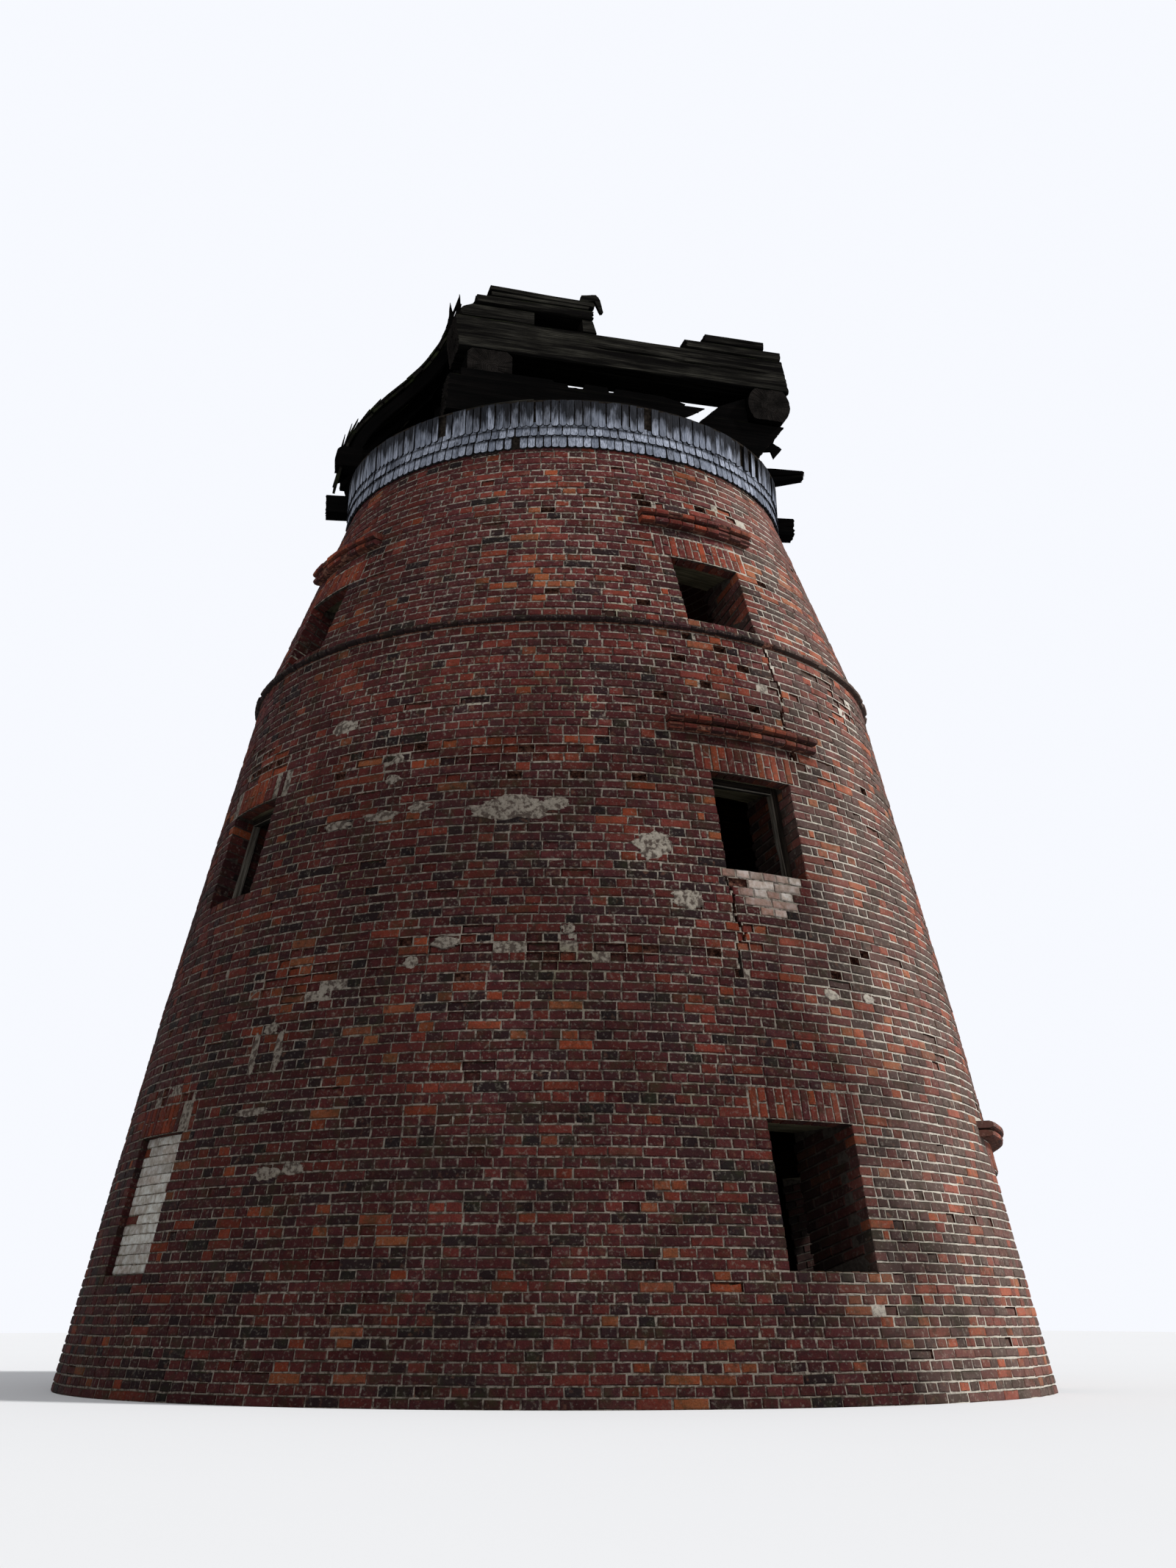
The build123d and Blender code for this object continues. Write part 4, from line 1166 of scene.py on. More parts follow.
@cache
def dark_oak_materials():
    """Side and end grain of the cap's timbers in the shade."""
    return wood_material("dark_oak", srgb(19, 17, 16), srgb(7, 7, 7), moss=0.2), end_grain_material()


# Laying the walls

# Patches of newer brick round an opening: turn, metres for each degree, level, reach
NEW_PATCHES = ((358.5, 0.052, 5.83, 0.24), (11.0, 0.07, 4.4, 0.12))
# Share of stretchers that give way to a pair of headers, and of bricks that have spalled
PAIRED_HEADERS, SPALLED, SPALLED_WHERE_WORN = 0.12, 0.03, 0.55
# Least span of a course that gets closers at its corners
CLOSER_SPAN = 1.5
# Half sizes of the slots along the cracks, and the least piece of a brick that stays beside one
CRACK_SLOT = (0.016, 0.05, 0.03)
LEAST_PIECE = 0.03
# Level where the bricks end, behind the skirt
COURSES_TOP = 8.45
# Pale bricks under a broken sill: turn, levels, degrees to each side at the bottom and more for each metre up
PALE_TURN, PALE_LOW, PALE_HIGH, PALE_ARC, PALE_SPREAD = 359.2, 3.72, 4.09, 2.0, 14.0


def course_list():
    """Bottom and top of every course; courses start afresh at sills, heads and projecting courses."""
    marks = {0.0, COURSES_TOP, STRING_LOW, STRING_HIGH}
    for _, sill, head in (GROUND_WINDOW, MIDDLE_WINDOW, UPPER_WINDOW):
        marks |= {sill, head, head + LINTEL_HEIGHT}
    for _, _, head in (MIDDLE_WINDOW, UPPER_WINDOW):
        bottom = head + LINTEL_HEIGHT + HOOD_GAP
        marks |= {bottom, bottom + 2 * COURSE_HEIGHT}
    marks = sorted(marks)
    half_joint = brickwork().joint / 2
    courses = []
    for low, high in zip(marks, marks[1:]):
        count = max(1, round((high - low) / brickwork().course))
        pitch = (high - low) / count
        for i in range(count):
            bottom = low + i * pitch
            courses.append((bottom + half_joint, bottom + pitch - half_joint))
    return courses


def overlap(low, high, bottom, top):
    return min(high, top) - max(low, bottom)


def blocked_arcs(low, high):
    """Arcs where no wall brick goes at a course: start, end, and whether its ends are jambs."""
    radius = wall_radius((low + high) / 2)
    found = []
    for turn, width, sill, head in ALL_OPENINGS:
        if overlap(low, high, sill, head) > 0.03:
            found.append((turn, math.degrees(math.asin(width / 2 / radius)), True))
        elif overlap(low, high, head, head + LINTEL_HEIGHT) > 0.02:
            found.append((turn, math.degrees(math.asin((width / 2 + LINTEL_END) / radius)), False))
    for turn, bottom, arc, _ in hood_list():
        if overlap(low, high, bottom, bottom + 2 * COURSE_HEIGHT) > 0.02:
            found.append((turn, arc / 2, False))
    return sorted((turn - half, turn + half, jamb) for turn, half, jamb in found)


def fill_arc(start, end, radius, header, jambs, draw):
    """Bricks of one course between two turns: turn, width, kind and the jamb that the brick makes."""
    sizes = brickwork()
    span = math.radians(end - start) * radius
    joint, long, wide = sizes.joint, sizes.brick_length, sizes.brick_width
    whole = span > 2 * math.pi * radius - 0.01
    if header and not whole and span > CLOSER_SPAN:
        inner = span + joint - 2 * (wide + wide / 2 + 2 * joint)
        count = max(1, round(inner / (wide + joint)))
        corner = [("header", wide), ("closer", wide / 2)]
        pieces = corner + [("header", inner / count - joint)] * count + corner[::-1]
    else:
        run = span + (0.0 if whole else joint)
        count = max(1, round(run / ((wide if header else long) + joint)))
        fitted = run / count - joint
        pieces = []
        for _ in range(count):
            if not header and draw.random() < PAIRED_HEADERS:
                pieces += [("header", (fitted - joint) / 2)] * 2
            else:
                pieces.append(("header" if header else "stretcher", fitted))
    place, laid = 0.0, []
    for number, (kind, width) in enumerate(pieces):
        side = None
        if number == 0 and jambs[0]:
            side = "right"
        if number == len(pieces) - 1 and jambs[1]:
            side = "left"
        turn = start + math.degrees((place + width / 2) / radius)
        laid.append((turn % 360.0, width, kind, side))
        place += width + joint
    return laid


def course_bricks(low, high, header, draw):
    """All bricks of one course round the tower."""
    radius = wall_radius((low + high) / 2)
    arcs = blocked_arcs(low, high)
    if not arcs:
        start = draw.uniform(0.0, 360.0)
        return fill_arc(start, start + 360.0, radius, header, (False, False), draw)
    laid = []
    gap = math.degrees(brickwork().joint / radius)
    round_again = (arcs[0][0] + 360.0, 0.0, arcs[0][2])
    for (_, start, from_jamb), (end, _, to_jamb) in zip(arcs, arcs[1:] + [round_again]):
        first = start + (0.0 if from_jamb else gap)
        last = end - (0.0 if to_jamb else gap)
        laid += fill_arc(first, last, radius, header, (from_jamb, to_jamb), draw)
    return laid


def worn_share(turn, z):
    """How far a brick lies in a worn zone, 0 to 1, and the zone's share of orange."""
    best, orange = 0.0, 0.0
    for zone_turn, level, half_width, half_height, portion in WORN_ZONES:
        across = math.radians(turn_gap(turn, zone_turn)) * wall_radius(z) / half_width
        inside = 1.0 - math.hypot(across, (z - level) / half_height)
        if inside > best:
            best, orange = inside, portion
    return min(1.0, best * 2.5), orange


def brick_tone(turn, z, draw):
    """Tone of a brick from the part of the wall it is in."""
    mix = MIX_PLAIN
    for zone, turn_low, turn_high, low, high in MIX_ZONES:
        if turn_low < turn < turn_high and low < z < high:
            mix = zone
    for at, narrow, level, reach in NEW_PATCHES:
        if abs(turn_gap(turn, at)) * narrow + abs(z - level) < reach:
            mix = MIX_NEW
    worn, orange = worn_share(turn, z)
    if worn > 0.2 and draw.random() < orange * worn:
        mix = MIX_NEW
    roll = min(0.999, max(0.0, draw.random() + 0.22 * rough(turn * 0.06, z * 0.9, 3.0)))
    total = 0.0
    for place, portion in enumerate(mix):
        total += portion
        if roll < total:
            return draw.uniform(TONE_BANDS[place], TONE_BANDS[place + 1])
    return TONE_BANDS[-1]


def node_at(turn, z):
    """Name of the CAD node that holds a point of the wall."""
    storey = next((name for name, _, high, _ in STOREYS if z < high), STOREYS[-1][0])
    turns = []
    for opening, width, sill, head in storey_openings(storey):
        half = math.degrees(math.asin(width / 2 / wall_radius(z)))
        turns.append(opening)
        if abs(turn_gap(turn, opening)) < half:
            return f"{storey}_breasts" if z < (sill + head) / 2 else f"{storey}_heads"
    before = sum(1 for opening in turns if opening <= turn)
    return f"{storey}_pier_{before or len(turns)}"


def crack_turn(crack, z):
    """Turn of a crack at a height, or None above or below it."""
    for (turn_high, high), (turn_low, low) in zip(crack, crack[1:]):
        if low <= z <= high:
            stray = 1.1 * rough(z * 11.0, turn_high, 7.0)
            return turn_low + (turn_high - turn_low) * (z - low) / (high - low) + stray
    return None


def split_at_cracks(turn, width, z):
    """A brick that a crack runs through is left as what remains on either side."""
    radius = wall_radius(z)
    for index, crack in enumerate(CRACKS):
        at = crack_turn(crack, z)
        if at is None:
            continue
        gap = 0.015 + 0.012 * rough(z * 9.0, index, 0.0)
        away = math.radians(turn_gap(at, turn)) * radius
        if abs(away) < width / 2:
            sides = ((-width / 2, away - gap), (away + gap, width / 2))
            return [
                ((turn + math.degrees((low + high) / 2 / radius)) % 360.0, high - low)
                for low, high in sides
                if high - low > LEAST_PIECE
            ]
    return [(turn, width)]


def wall_core(node, storey, thickness, cutters):
    """The node's own shape with its face behind the bricks, less the pockets."""
    recess = brickwork().recess
    work = node_copy(node)
    for vert in work.verts:
        x, y, z = vert.co
        reach = math.hypot(x, y)
        if reach < 0.01:
            continue
        for turn, width, sill, _ in storey_openings(storey):
            across = vert.co.dot(sideways(turn))
            if vert.co.dot(outward(turn)) > 0 and abs(abs(across) - width / 2) < EDGE_NEAR:
                vert.co += sideways(turn) * math.copysign(recess, across)
            on_sill = sill > 0 and abs(z - sill) < EDGE_NEAR and abs(across) < width / 2 + 0.02
            if "breasts" in node and on_sill:
                vert.co.z = sill - recess
        if abs(wall_radius(z) - reach) < FACE_NEAR:
            vert.co -= Vector((vert.co.x, vert.co.y, 0.0)).normalized() * recess
    mesh = closed_mesh(node + "_core", work, [])
    if cutters is not None:
        mesh = cut_mesh(mesh, cutters)
    mesh.materials.clear()
    for material in (mortar_material(), inner_brick_material(), hole_material()):
        mesh.materials.append(material)
    for face in mesh.polygons:
        depth = wall_radius(face.center.z) - math.hypot(face.center.x, face.center.y)
        face.material_index = 1 if depth > thickness - 0.02 and abs(face.normal.z) < 0.8 else 0
        if recess + 0.008 < depth < brickwork().pocket + 0.02 and face.area < 0.03:
            face.material_index = 2
    return mesh


def box_cutter(boxes):
    """One mesh of boxes, each with a matrix and its half sizes."""
    if not boxes:
        return None
    verts, faces = [], []
    corners = ((-1, -1), (1, -1), (1, 1), (-1, 1))
    sides = ((0, 3, 2, 1), (4, 5, 6, 7), (0, 1, 5, 4), (1, 2, 6, 5), (2, 3, 7, 6), (3, 0, 4, 7))
    for matrix, half in boxes:
        base = len(verts)
        x, y, z = half
        verts += [matrix @ Vector((a * x, b * y, c * z)) for c in (-1, 1) for a, b in corners]
        faces += [tuple(base + i for i in side) for side in sides]
    return tidy_mesh("cutters", verts, faces, [])


def is_blocked(storey, turn):
    return storey == "ground" and turn == BLOCKED_TURN


class Masonry:
    """The walls while they are laid: bricks and pockets by node, and the fallen bricks still to come."""

    def __init__(self):
        self.sizes = brickwork()
        self.book = brick_book()
        self.draw = random.Random(self.sizes.seed)
        self.beds, self.pockets = {}, {}
        self.fallen = list(POCKETS)

    def add(self, node, *brick):
        self.beds.setdefault(node, Bed()).add(*brick)

    def cut(self, node, turn, z, inward, half):
        """Leave a pocket, given how far in its middle is and its half sizes."""
        matrix = wall_matrix(turn, z) @ Matrix.Translation((0.0, inward, 0.0))
        self.pockets.setdefault(node, []).append((matrix, half))

    def lay_courses(self):
        for index, (low, high) in enumerate(course_list()):
            if overlap(low, high, STRING_LOW, STRING_HIGH) > 0.02:
                continue
            z = (low + high) / 2
            for turn, width, kind, side in course_bricks(low, high, index % 2 == 1, self.draw):
                for at, left in split_at_cracks(turn, width, z):
                    self.lay_brick(at, z, left, high - low, kind, side, self.fallen)

    def lay_brick(self, turn, z, width, height, kind, side, fallen):
        """Lay a brick, or leave the pocket of a lost one; half of a lost stretcher may stay."""
        sizes, draw = self.sizes, self.draw
        radius = wall_radius(z)
        node = node_at(turn, z)
        worn, _ = worn_share(turn, z)
        here = [
            spot for spot in fallen
            if abs(z - spot[1]) < sizes.course / 2
            and abs(math.radians(turn_gap(turn, spot[0])) * radius) < width / 2 + 0.01
        ]
        for spot in here:
            fallen.remove(spot)
        lost = bool(here) or (side is None and draw.random() < sizes.fallen * worn)
        spalled = side is None and draw.random() < SPALLED + SPALLED_WHERE_WORN * worn
        if lost and kind == "stretcher" and side is None and width > 0.2:
            half = math.degrees(width / 4 / radius) * draw.choice((-1, 1))
            self.lay_brick(turn - half, z, width / 2 - 0.01, height, "header", None, [])
            turn, width = turn + half, width / 2
        if lost or spalled:
            depth = sizes.pocket * draw.uniform(0.35, 0.8) if lost else BRICK_BODY
            half = (width / 2 + 0.002, depth / 2 + 0.02, height / 2 + 0.002)
            self.cut(node, turn, z, depth / 2 - 0.02, half)
        if lost:
            return
        tone, lime = brick_tone(turn, z, draw), 0.0
        pale_arc = PALE_ARC + (z - PALE_LOW) * PALE_SPREAD
        if PALE_LOW < z < PALE_HIGH and abs(turn_gap(turn, PALE_TURN)) < pale_arc:
            lime = draw.uniform(0.2, 0.65)
            tone = draw.uniform(0.93, 1.0)
        form = kind
        if kind == "closer":
            nominal = sizes.brick_width / 2
        else:
            nominal = sizes.brick_length if kind == "stretcher" else sizes.brick_width
            form = f"spalled_{kind}" if spalled else f"{kind}_{side}" if side else kind
        angle = math.radians(turn)
        place = on_wall(turn, z + 0.006 * rough(math.sin(angle) * 5, math.cos(angle) * 5, z * 2))
        if worn and not spalled:
            place += outward(turn) * draw.uniform(-0.012, 0.004) * worn
        wide = (width + draw.uniform(-0.008, 0.003)) / nominal
        tall = height * draw.uniform(0.93, 1.04) / sizes.brick_height
        size = (wide, 1.0, tall)
        self.add(node, place, wall_angles(turn, z), size, self.book.pick(form, draw), tone, lime)

    def line_reveals(self):
        """Bricks on the jambs, behind the corner bricks, with beds that follow the batter."""
        for storey, _, _, thickness in STOREYS:
            for opening in storey_openings(storey):
                deep = INFILL_RECESS if is_blocked(storey, opening[0]) else thickness
                for index, course in enumerate(course_list()):
                    self.line_course(opening, deep, index % 2 == 1, *course)

    def line_course(self, opening, deep, long_corner, low, high):
        """One course of both jambs of an opening."""
        sizes = self.sizes
        turn, width, sill, head = opening
        middle = (low + high) / 2
        if not sill - 0.02 < middle < head + 0.25:
            return
        lean = wall_lean(middle)
        face = math.sqrt(wall_radius(middle) ** 2 - (width / 2) ** 2)
        depth = (sizes.brick_length if long_corner else sizes.brick_width) + sizes.joint
        limit = deep / math.cos(lean)
        while depth < limit - 0.04:
            piece = min(sizes.brick_length, limit - depth)
            along = depth + piece / 2
            z = middle - along * math.sin(lean)
            if sill < z - piece / 2 * math.sin(lean) - 0.02 and z + (high - low) / 2 < head + 0.005:
                size = (piece / sizes.brick_length, 1.0, (high - low) / sizes.brick_height)
                for side in (-1, 1):
                    place = place_at(turn, face - along * math.cos(lean), z, side * width / 2)
                    angles = (0.0, -side * lean, math.radians(turn) - side * math.pi / 2)
                    edge = (turn + side * math.degrees((width / 2 + 0.05) / wall_radius(middle))) % 360.0
                    tone = brick_tone(edge, middle, self.draw)
                    form = self.book.pick("stretcher", self.draw)
                    # The negative last value is painted shade on the reveal's bricks, darker the deeper they
                    # lie.
                    self.add(node_at(edge, middle), place, angles, size, form, tone, -0.25 - 0.9 * depth)
            depth += piece + sizes.joint

    def lay_sills(self):
        """Bricks on edge across the sills."""
        sizes, draw = self.sizes, self.draw
        for storey, _, _, thickness in STOREYS:
            rows = round(thickness / (sizes.brick_length + sizes.joint))
            deep = thickness / rows
            for turn, width, sill, _ in storey_openings(storey):
                if sill <= 0 or is_blocked(storey, turn):
                    continue
                face = math.sqrt(wall_radius(sill) ** 2 - (width / 2) ** 2) - 0.006
                count = round(width / sizes.course)
                high = (width / count - 0.01) / sizes.brick_height
                size = ((deep - sizes.joint) / sizes.brick_length, 1.0, high)
                angles = (-math.pi / 2, 0.0, math.radians(turn) + math.pi / 2)
                pale = 0.2 if storey == "middle" and turn == 0.0 else 0.05
                for i in range(count):
                    across = (i + 0.5) / count * width - width / 2
                    for row in range(rows):
                        place = place_at(turn, face - (row + 0.5) * deep, sill, across)
                        tone = draw.uniform(0.2, 0.8)
                        form = self.book.pick("stretcher", draw)
                        lime = draw.uniform(0.0, pale)
                        self.add(f"{storey}_breasts", place, angles, size, form, tone, lime)

    def open_cracks(self):
        """Slots in the mortar along the cracks."""
        for crack in CRACKS:
            high, low = crack[0][1], crack[-1][1]
            count = math.ceil((high - low) / 0.04)
            for i in range(count):
                z = high - (i + 0.5) * (high - low) / count
                turn = crack_turn(crack, z)
                self.cut(node_at(turn % 360.0, z), turn, z, 0.02, CRACK_SLOT)


class MILL_OT_lay_walls(bpy.types.Operator):
    """Lay the three storeys of battered brickwork, one piece for each pier, breast and head"""

    bl_idname = "mill.lay_walls"
    bl_label = "Lay walls"

    def execute(self, context):
        walls = Masonry()
        walls.lay_courses()
        walls.line_reveals()
        walls.lay_sills()
        walls.open_cracks()
        kinds = ("_pier_", "_breasts", "_heads")
        for storey, _, _, thickness in STOREYS:
            own = [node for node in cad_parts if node.startswith(storey + "_")]
            names = sorted(node for node in own if any(kind in node for kind in kinds))
            for index, node in enumerate(names):
                parts = [wall_core(node, storey, thickness, box_cutter(walls.pockets.get(node)))]
                if node in walls.beds:
                    parts.append(walls.beds[node].lay_bricks(node, index))
                finish_piece(node + "_brickwork", parts, [node])
        return {"FINISHED"}


class MILL_OT_set_lintels(bpy.types.Operator):
    """Set the upright bricks over the openings, on a core of mortar"""

    bl_idname = "mill.set_lintels"
    bl_label = "Set lintels"

    def execute(self, context):
        sizes, book = brickwork(), brick_book()
        draw = random.Random(sizes.seed + 31)
        bed = Bed()
        for turn, width, _, head in ALL_OPENINGS:
            middle = head + LINTEL_HEIGHT / 2
            span = width + 2 * LINTEL_END
            count = round(span / sizes.soldier)
            wide = (span / count - 0.011) / sizes.brick_height
            worn = 0.45 if turn == BLOCKED_TURN and head < 6.0 else 0.0
            for i in range(count):
                across = (i + 0.5) / count * span - span / 2
                at = (turn + math.degrees(math.asin(across / wall_radius(middle)))) % 360.0
                angles = wall_angles(at, middle)
                tones = (draw.uniform(0.78, 0.90), draw.uniform(0.66, 0.82), draw.uniform(0.45, 0.7))
                tone = draw.choice(tones)
                if draw.random() < worn:
                    continue
                if i % 2 == 0:
                    size = (wide, 1.0, (LINTEL_HEIGHT - 0.008) / sizes.brick_length)
                    bed.add(on_wall(at, middle), angles, size, book.pick("soldier", draw), tone)
                    continue
                size = (wide, 1.0, (LINTEL_HEIGHT / 2 - 0.012) / sizes.brick_width)
                for up in (-1, 1):
                    place = on_wall(at, middle + up * (LINTEL_HEIGHT / 4) * math.cos(wall_lean(middle)))
                    shade = min(1.0, tone + draw.uniform(-0.1, 0.08))
                    bed.add(place, angles, size, book.pick("half_soldier", draw), shade)
        parts = [mortar_core("soldier_lintels", "soldier_core"), bed.lay_bricks("soldiers", 31)]
        finish_piece("soldier_lintels_brickwork", parts, ["soldier_lintels"])
        return {"FINISHED"}


class MILL_OT_lay_mouldings(bpy.types.Operator):
    """Lay the rounded bricks of the hoods and of the string course"""

    bl_idname = "mill.lay_mouldings"
    bl_label = "Lay mouldings"

    def execute(self, context):
        draw = random.Random(brickwork().seed + 47)
        bed, cores = Bed(), []
        for turn, bottom, arc, reaches in hood_list():
            broken = 0.02 if turn == DOOR_TURN else 0.1
            for course, reach in enumerate(reaches):
                low = bottom + course * COURSE_HEIGHT
                cores.append(self.lay_ring(bed, low, turn - arc / 2, turn + arc / 2, reach, broken, draw))
        parts = cores + [bed.lay_bricks("hoods", 3)]
        finish_piece("hood_mouldings", parts, ["hood_moulds"])
        bed = Bed()
        core = self.lay_ring(bed, STRING_LOW, 0.0, 360.0, STRING_REACH, 0.05, draw)
        finish_piece("string_moulding", [core, bed.lay_bricks("string", 5)], ["string_course"])
        return {"FINISHED"}

    @staticmethod
    def lay_ring(bed, low, start, end, reach, broken, draw):
        """One rounded course on the bed; the mortar behind its bricks is given back."""
        sizes, book = brickwork(), brick_book()
        ring = end - start > 300.0
        nose = wall_radius(low) + reach
        middle, top = low + COURSE_HEIGHT / 2, low + COURSE_HEIGHT
        span = math.radians(end - start) * nose
        count = round(span / (sizes.brick_width + sizes.joint))
        joint = sizes.joint * (0.5 if ring else 0.9)
        for i in range(count):
            turn = (start + (i + 0.5) / count * (end - start)) % 360.0
            if draw.random() < broken * 0.3:
                continue
            kind = "broken_nose" if draw.random() < broken * 2.0 else "nose"
            tone = brick_tone(turn, low, draw) * 0.14 if ring else draw.uniform(0.40, 0.88)
            high = draw.uniform(0.66, 0.80) if ring else draw.uniform(0.8, 0.95)
            size = ((span / count - joint) / sizes.brick_width, 1.0, high)
            angles = (0.0, 0.0, math.radians(turn))
            bed.add(place_at(turn, nose, middle), angles, size, book.pick(kind, draw), tone)
        inner = wall_radius(top) - 0.03
        behind = nose - (0.026 if ring else 0.013)
        curve = [(behind - 0.028, low + 0.004), (behind - 0.006, low + 0.018), (behind, middle)]
        curve += [(behind - 0.006, top - 0.018), (behind - 0.028, top - 0.004)]
        curve += [(inner, top - 0.004), (inner, low + 0.004)]
        margin = 0.0 if ring else 0.15
        return ring_sweep("moulding_core", curve, start + margin, end - margin, hole_material())


class MILL_OT_fill_blocked_window(bpy.types.Operator):
    """Fill the blocked ground window with whitewashed bricks"""

    bl_idname = "mill.fill_blocked_window"
    bl_label = "Fill blocked window"

    def execute(self, context):
        sizes, book = brickwork(), brick_book()
        draw = random.Random(sizes.seed + 13)
        width, sill, head = GROUND_WINDOW
        edge = width / 2
        bed = Bed()
        count = round((head - sill) / 0.08)
        pitch = (head - sill) / count
        high = (pitch - 0.008) / sizes.brick_height
        for row in range(count):
            z = sill + (row + 0.5) * pitch
            radius = wall_radius(z) - INFILL_RECESS
            edges = (-edge, -0.14, 0.12, edge) if row % 2 else (-edge, -0.27, 0.0, 0.26, edge)
            for index, (left, right) in enumerate(zip(edges, edges[1:])):
                turn = BLOCKED_TURN + math.degrees(math.asin((left + right) / 2 / radius))
                size = ((right - left - 0.006) / sizes.brick_length, 1.0, high)
                bare = (count - 1 - row, index) in BARE_BRICKS
                lime = 0.0 if bare else draw.uniform(0.62, 0.98)
                tone = draw.uniform(0.5, 0.99)
                form = book.pick("stretcher", draw)
                bed.add(place_at(turn, radius, z), wall_angles(turn, z), size, form, tone, lime)
        parts = [mortar_core("blocked_window", "infill_core", INFILL_RECESS), bed.lay_bricks("infill", 2)]
        finish_piece("blocked_window_infill", parts, ["blocked_window"])
        return {"FINISHED"}


def smear_mesh(turn, level, half_width, half_height, seed):
    """Thin uneven patch of mortar that lies over the bricks."""
    verts, faces = [], []
    for ring in range(SMEAR_RINGS + 1):
        out = ring / SMEAR_RINGS
        for spoke in range(SMEAR_SPOKES):
            angle = 2 * math.pi * spoke / SMEAR_SPOKES
            across, up = math.cos(angle), math.sin(angle)
            ragged = 1.0 + 0.32 * rough(across * 1.7, up * 1.7, seed)
            ragged += 0.16 * rough(across * 5.0, up * 5.0, seed + 9)
            x, y = across * half_width * out * ragged, up * half_height * out * ragged
            z = level + y * math.cos(wall_lean(level))
            thick = 0.007 * (1.0 - out ** 3) + 0.004 * rough(x * 16, y * 16, seed)
            at = turn + math.degrees(x / wall_radius(z))
            verts.append(on_wall(at, z, thick if ring < SMEAR_RINGS else -0.012))
    for ring in range(SMEAR_RINGS):
        faces += band(ring * SMEAR_SPOKES, (ring + 1) * SMEAR_SPOKES, SMEAR_SPOKES)
    rim = SMEAR_RINGS * SMEAR_SPOKES
    centre = len(verts)
    verts.append(on_wall(turn, level, -0.03))
    faces += [(rim + i, centre, rim + (i + 1) % SMEAR_SPOKES) for i in range(SMEAR_SPOKES)]
    return tidy_mesh("smear", verts, faces, [mortar_material()], merge=0.00001)


class MILL_OT_smear_mortar(bpy.types.Operator):
    """Lay the smears of mortar and plaster that cover bricks here and there"""

    bl_idname = "mill.smear_mortar"
    bl_label = "Smear mortar"

    def execute(self, context):
        meshes = [smear_mesh(*smear, index) for index, smear in enumerate(SMEARS)]
        finish_piece("mortar_smears", meshes, [])
        return {"FINISHED"}


# Timber

def cap_frame():
    """From the cap's own frame to the tower's."""
    return Matrix.Rotation(math.radians(CAP_TURN), 4, "Z")


def standing(place, axis, side, up):
    """Matrix at a place with the axes given."""
    return Matrix.Translation(place) @ Matrix((axis, side, up)).transposed().to_4x4()


def box_section(width, height, step, corner):
    """Outline of a squared timber with worn corners: points as (across, up), going round."""
    w, h = width / 2, height / 2
    sides = (
        ((corner - w, -h), (w - corner, -h)), ((w, corner - h), (w, h - corner)),
        ((w - corner, h), (corner - w, h)), ((-w, h - corner), (-w, corner - h)),
    )
    points = []
    for (x0, y0), (x1, y1) in sides:
        count = max(1, round(math.hypot(x1 - x0, y1 - y0) / step))
        points += [(x0 + (x1 - x0) * i / count, y0 + (y1 - y0) * i / count) for i in range(count + 1)]
    return points


def log_section(radius, flat, step):
    """Outline of a log that is hewn flat on top and underneath."""
    count = round(2 * math.pi * radius / step)
    angles = [2 * math.pi * i / count for i in range(count)]
    return [(radius * math.cos(a), max(-flat, min(flat, radius * math.sin(a)))) for a in angles]


class Checks:
    """Long drying cracks on a timber: where round it, from where to where along it, how deep."""

    HALF_WIDTH = 0.016

    def __init__(self, count, girth, reach, draw):
        self.rows = []
        for _ in range(count):
            start = draw.uniform(0.0, reach * 0.7)
            around = draw.uniform(0.0, girth)
            end = start + draw.uniform(0.3, 1.0) * reach
            self.rows.append((around, start, end, draw.uniform(0.008, 0.022)))

    def depth(self, along, around):
        total = 0.0
        for place, start, end, deep in self.rows:
            off = abs(around - place - 0.012 * math.sin(along * 2.3 + place * 9.0))
            if off < self.HALF_WIDTH and start < along < end:
                ends = min(1.0, (along - start) * 6.0, (end - along) * 6.0)
                total = max(total, deep * ends * (1.0 - off / self.HALF_WIDTH))
        return total


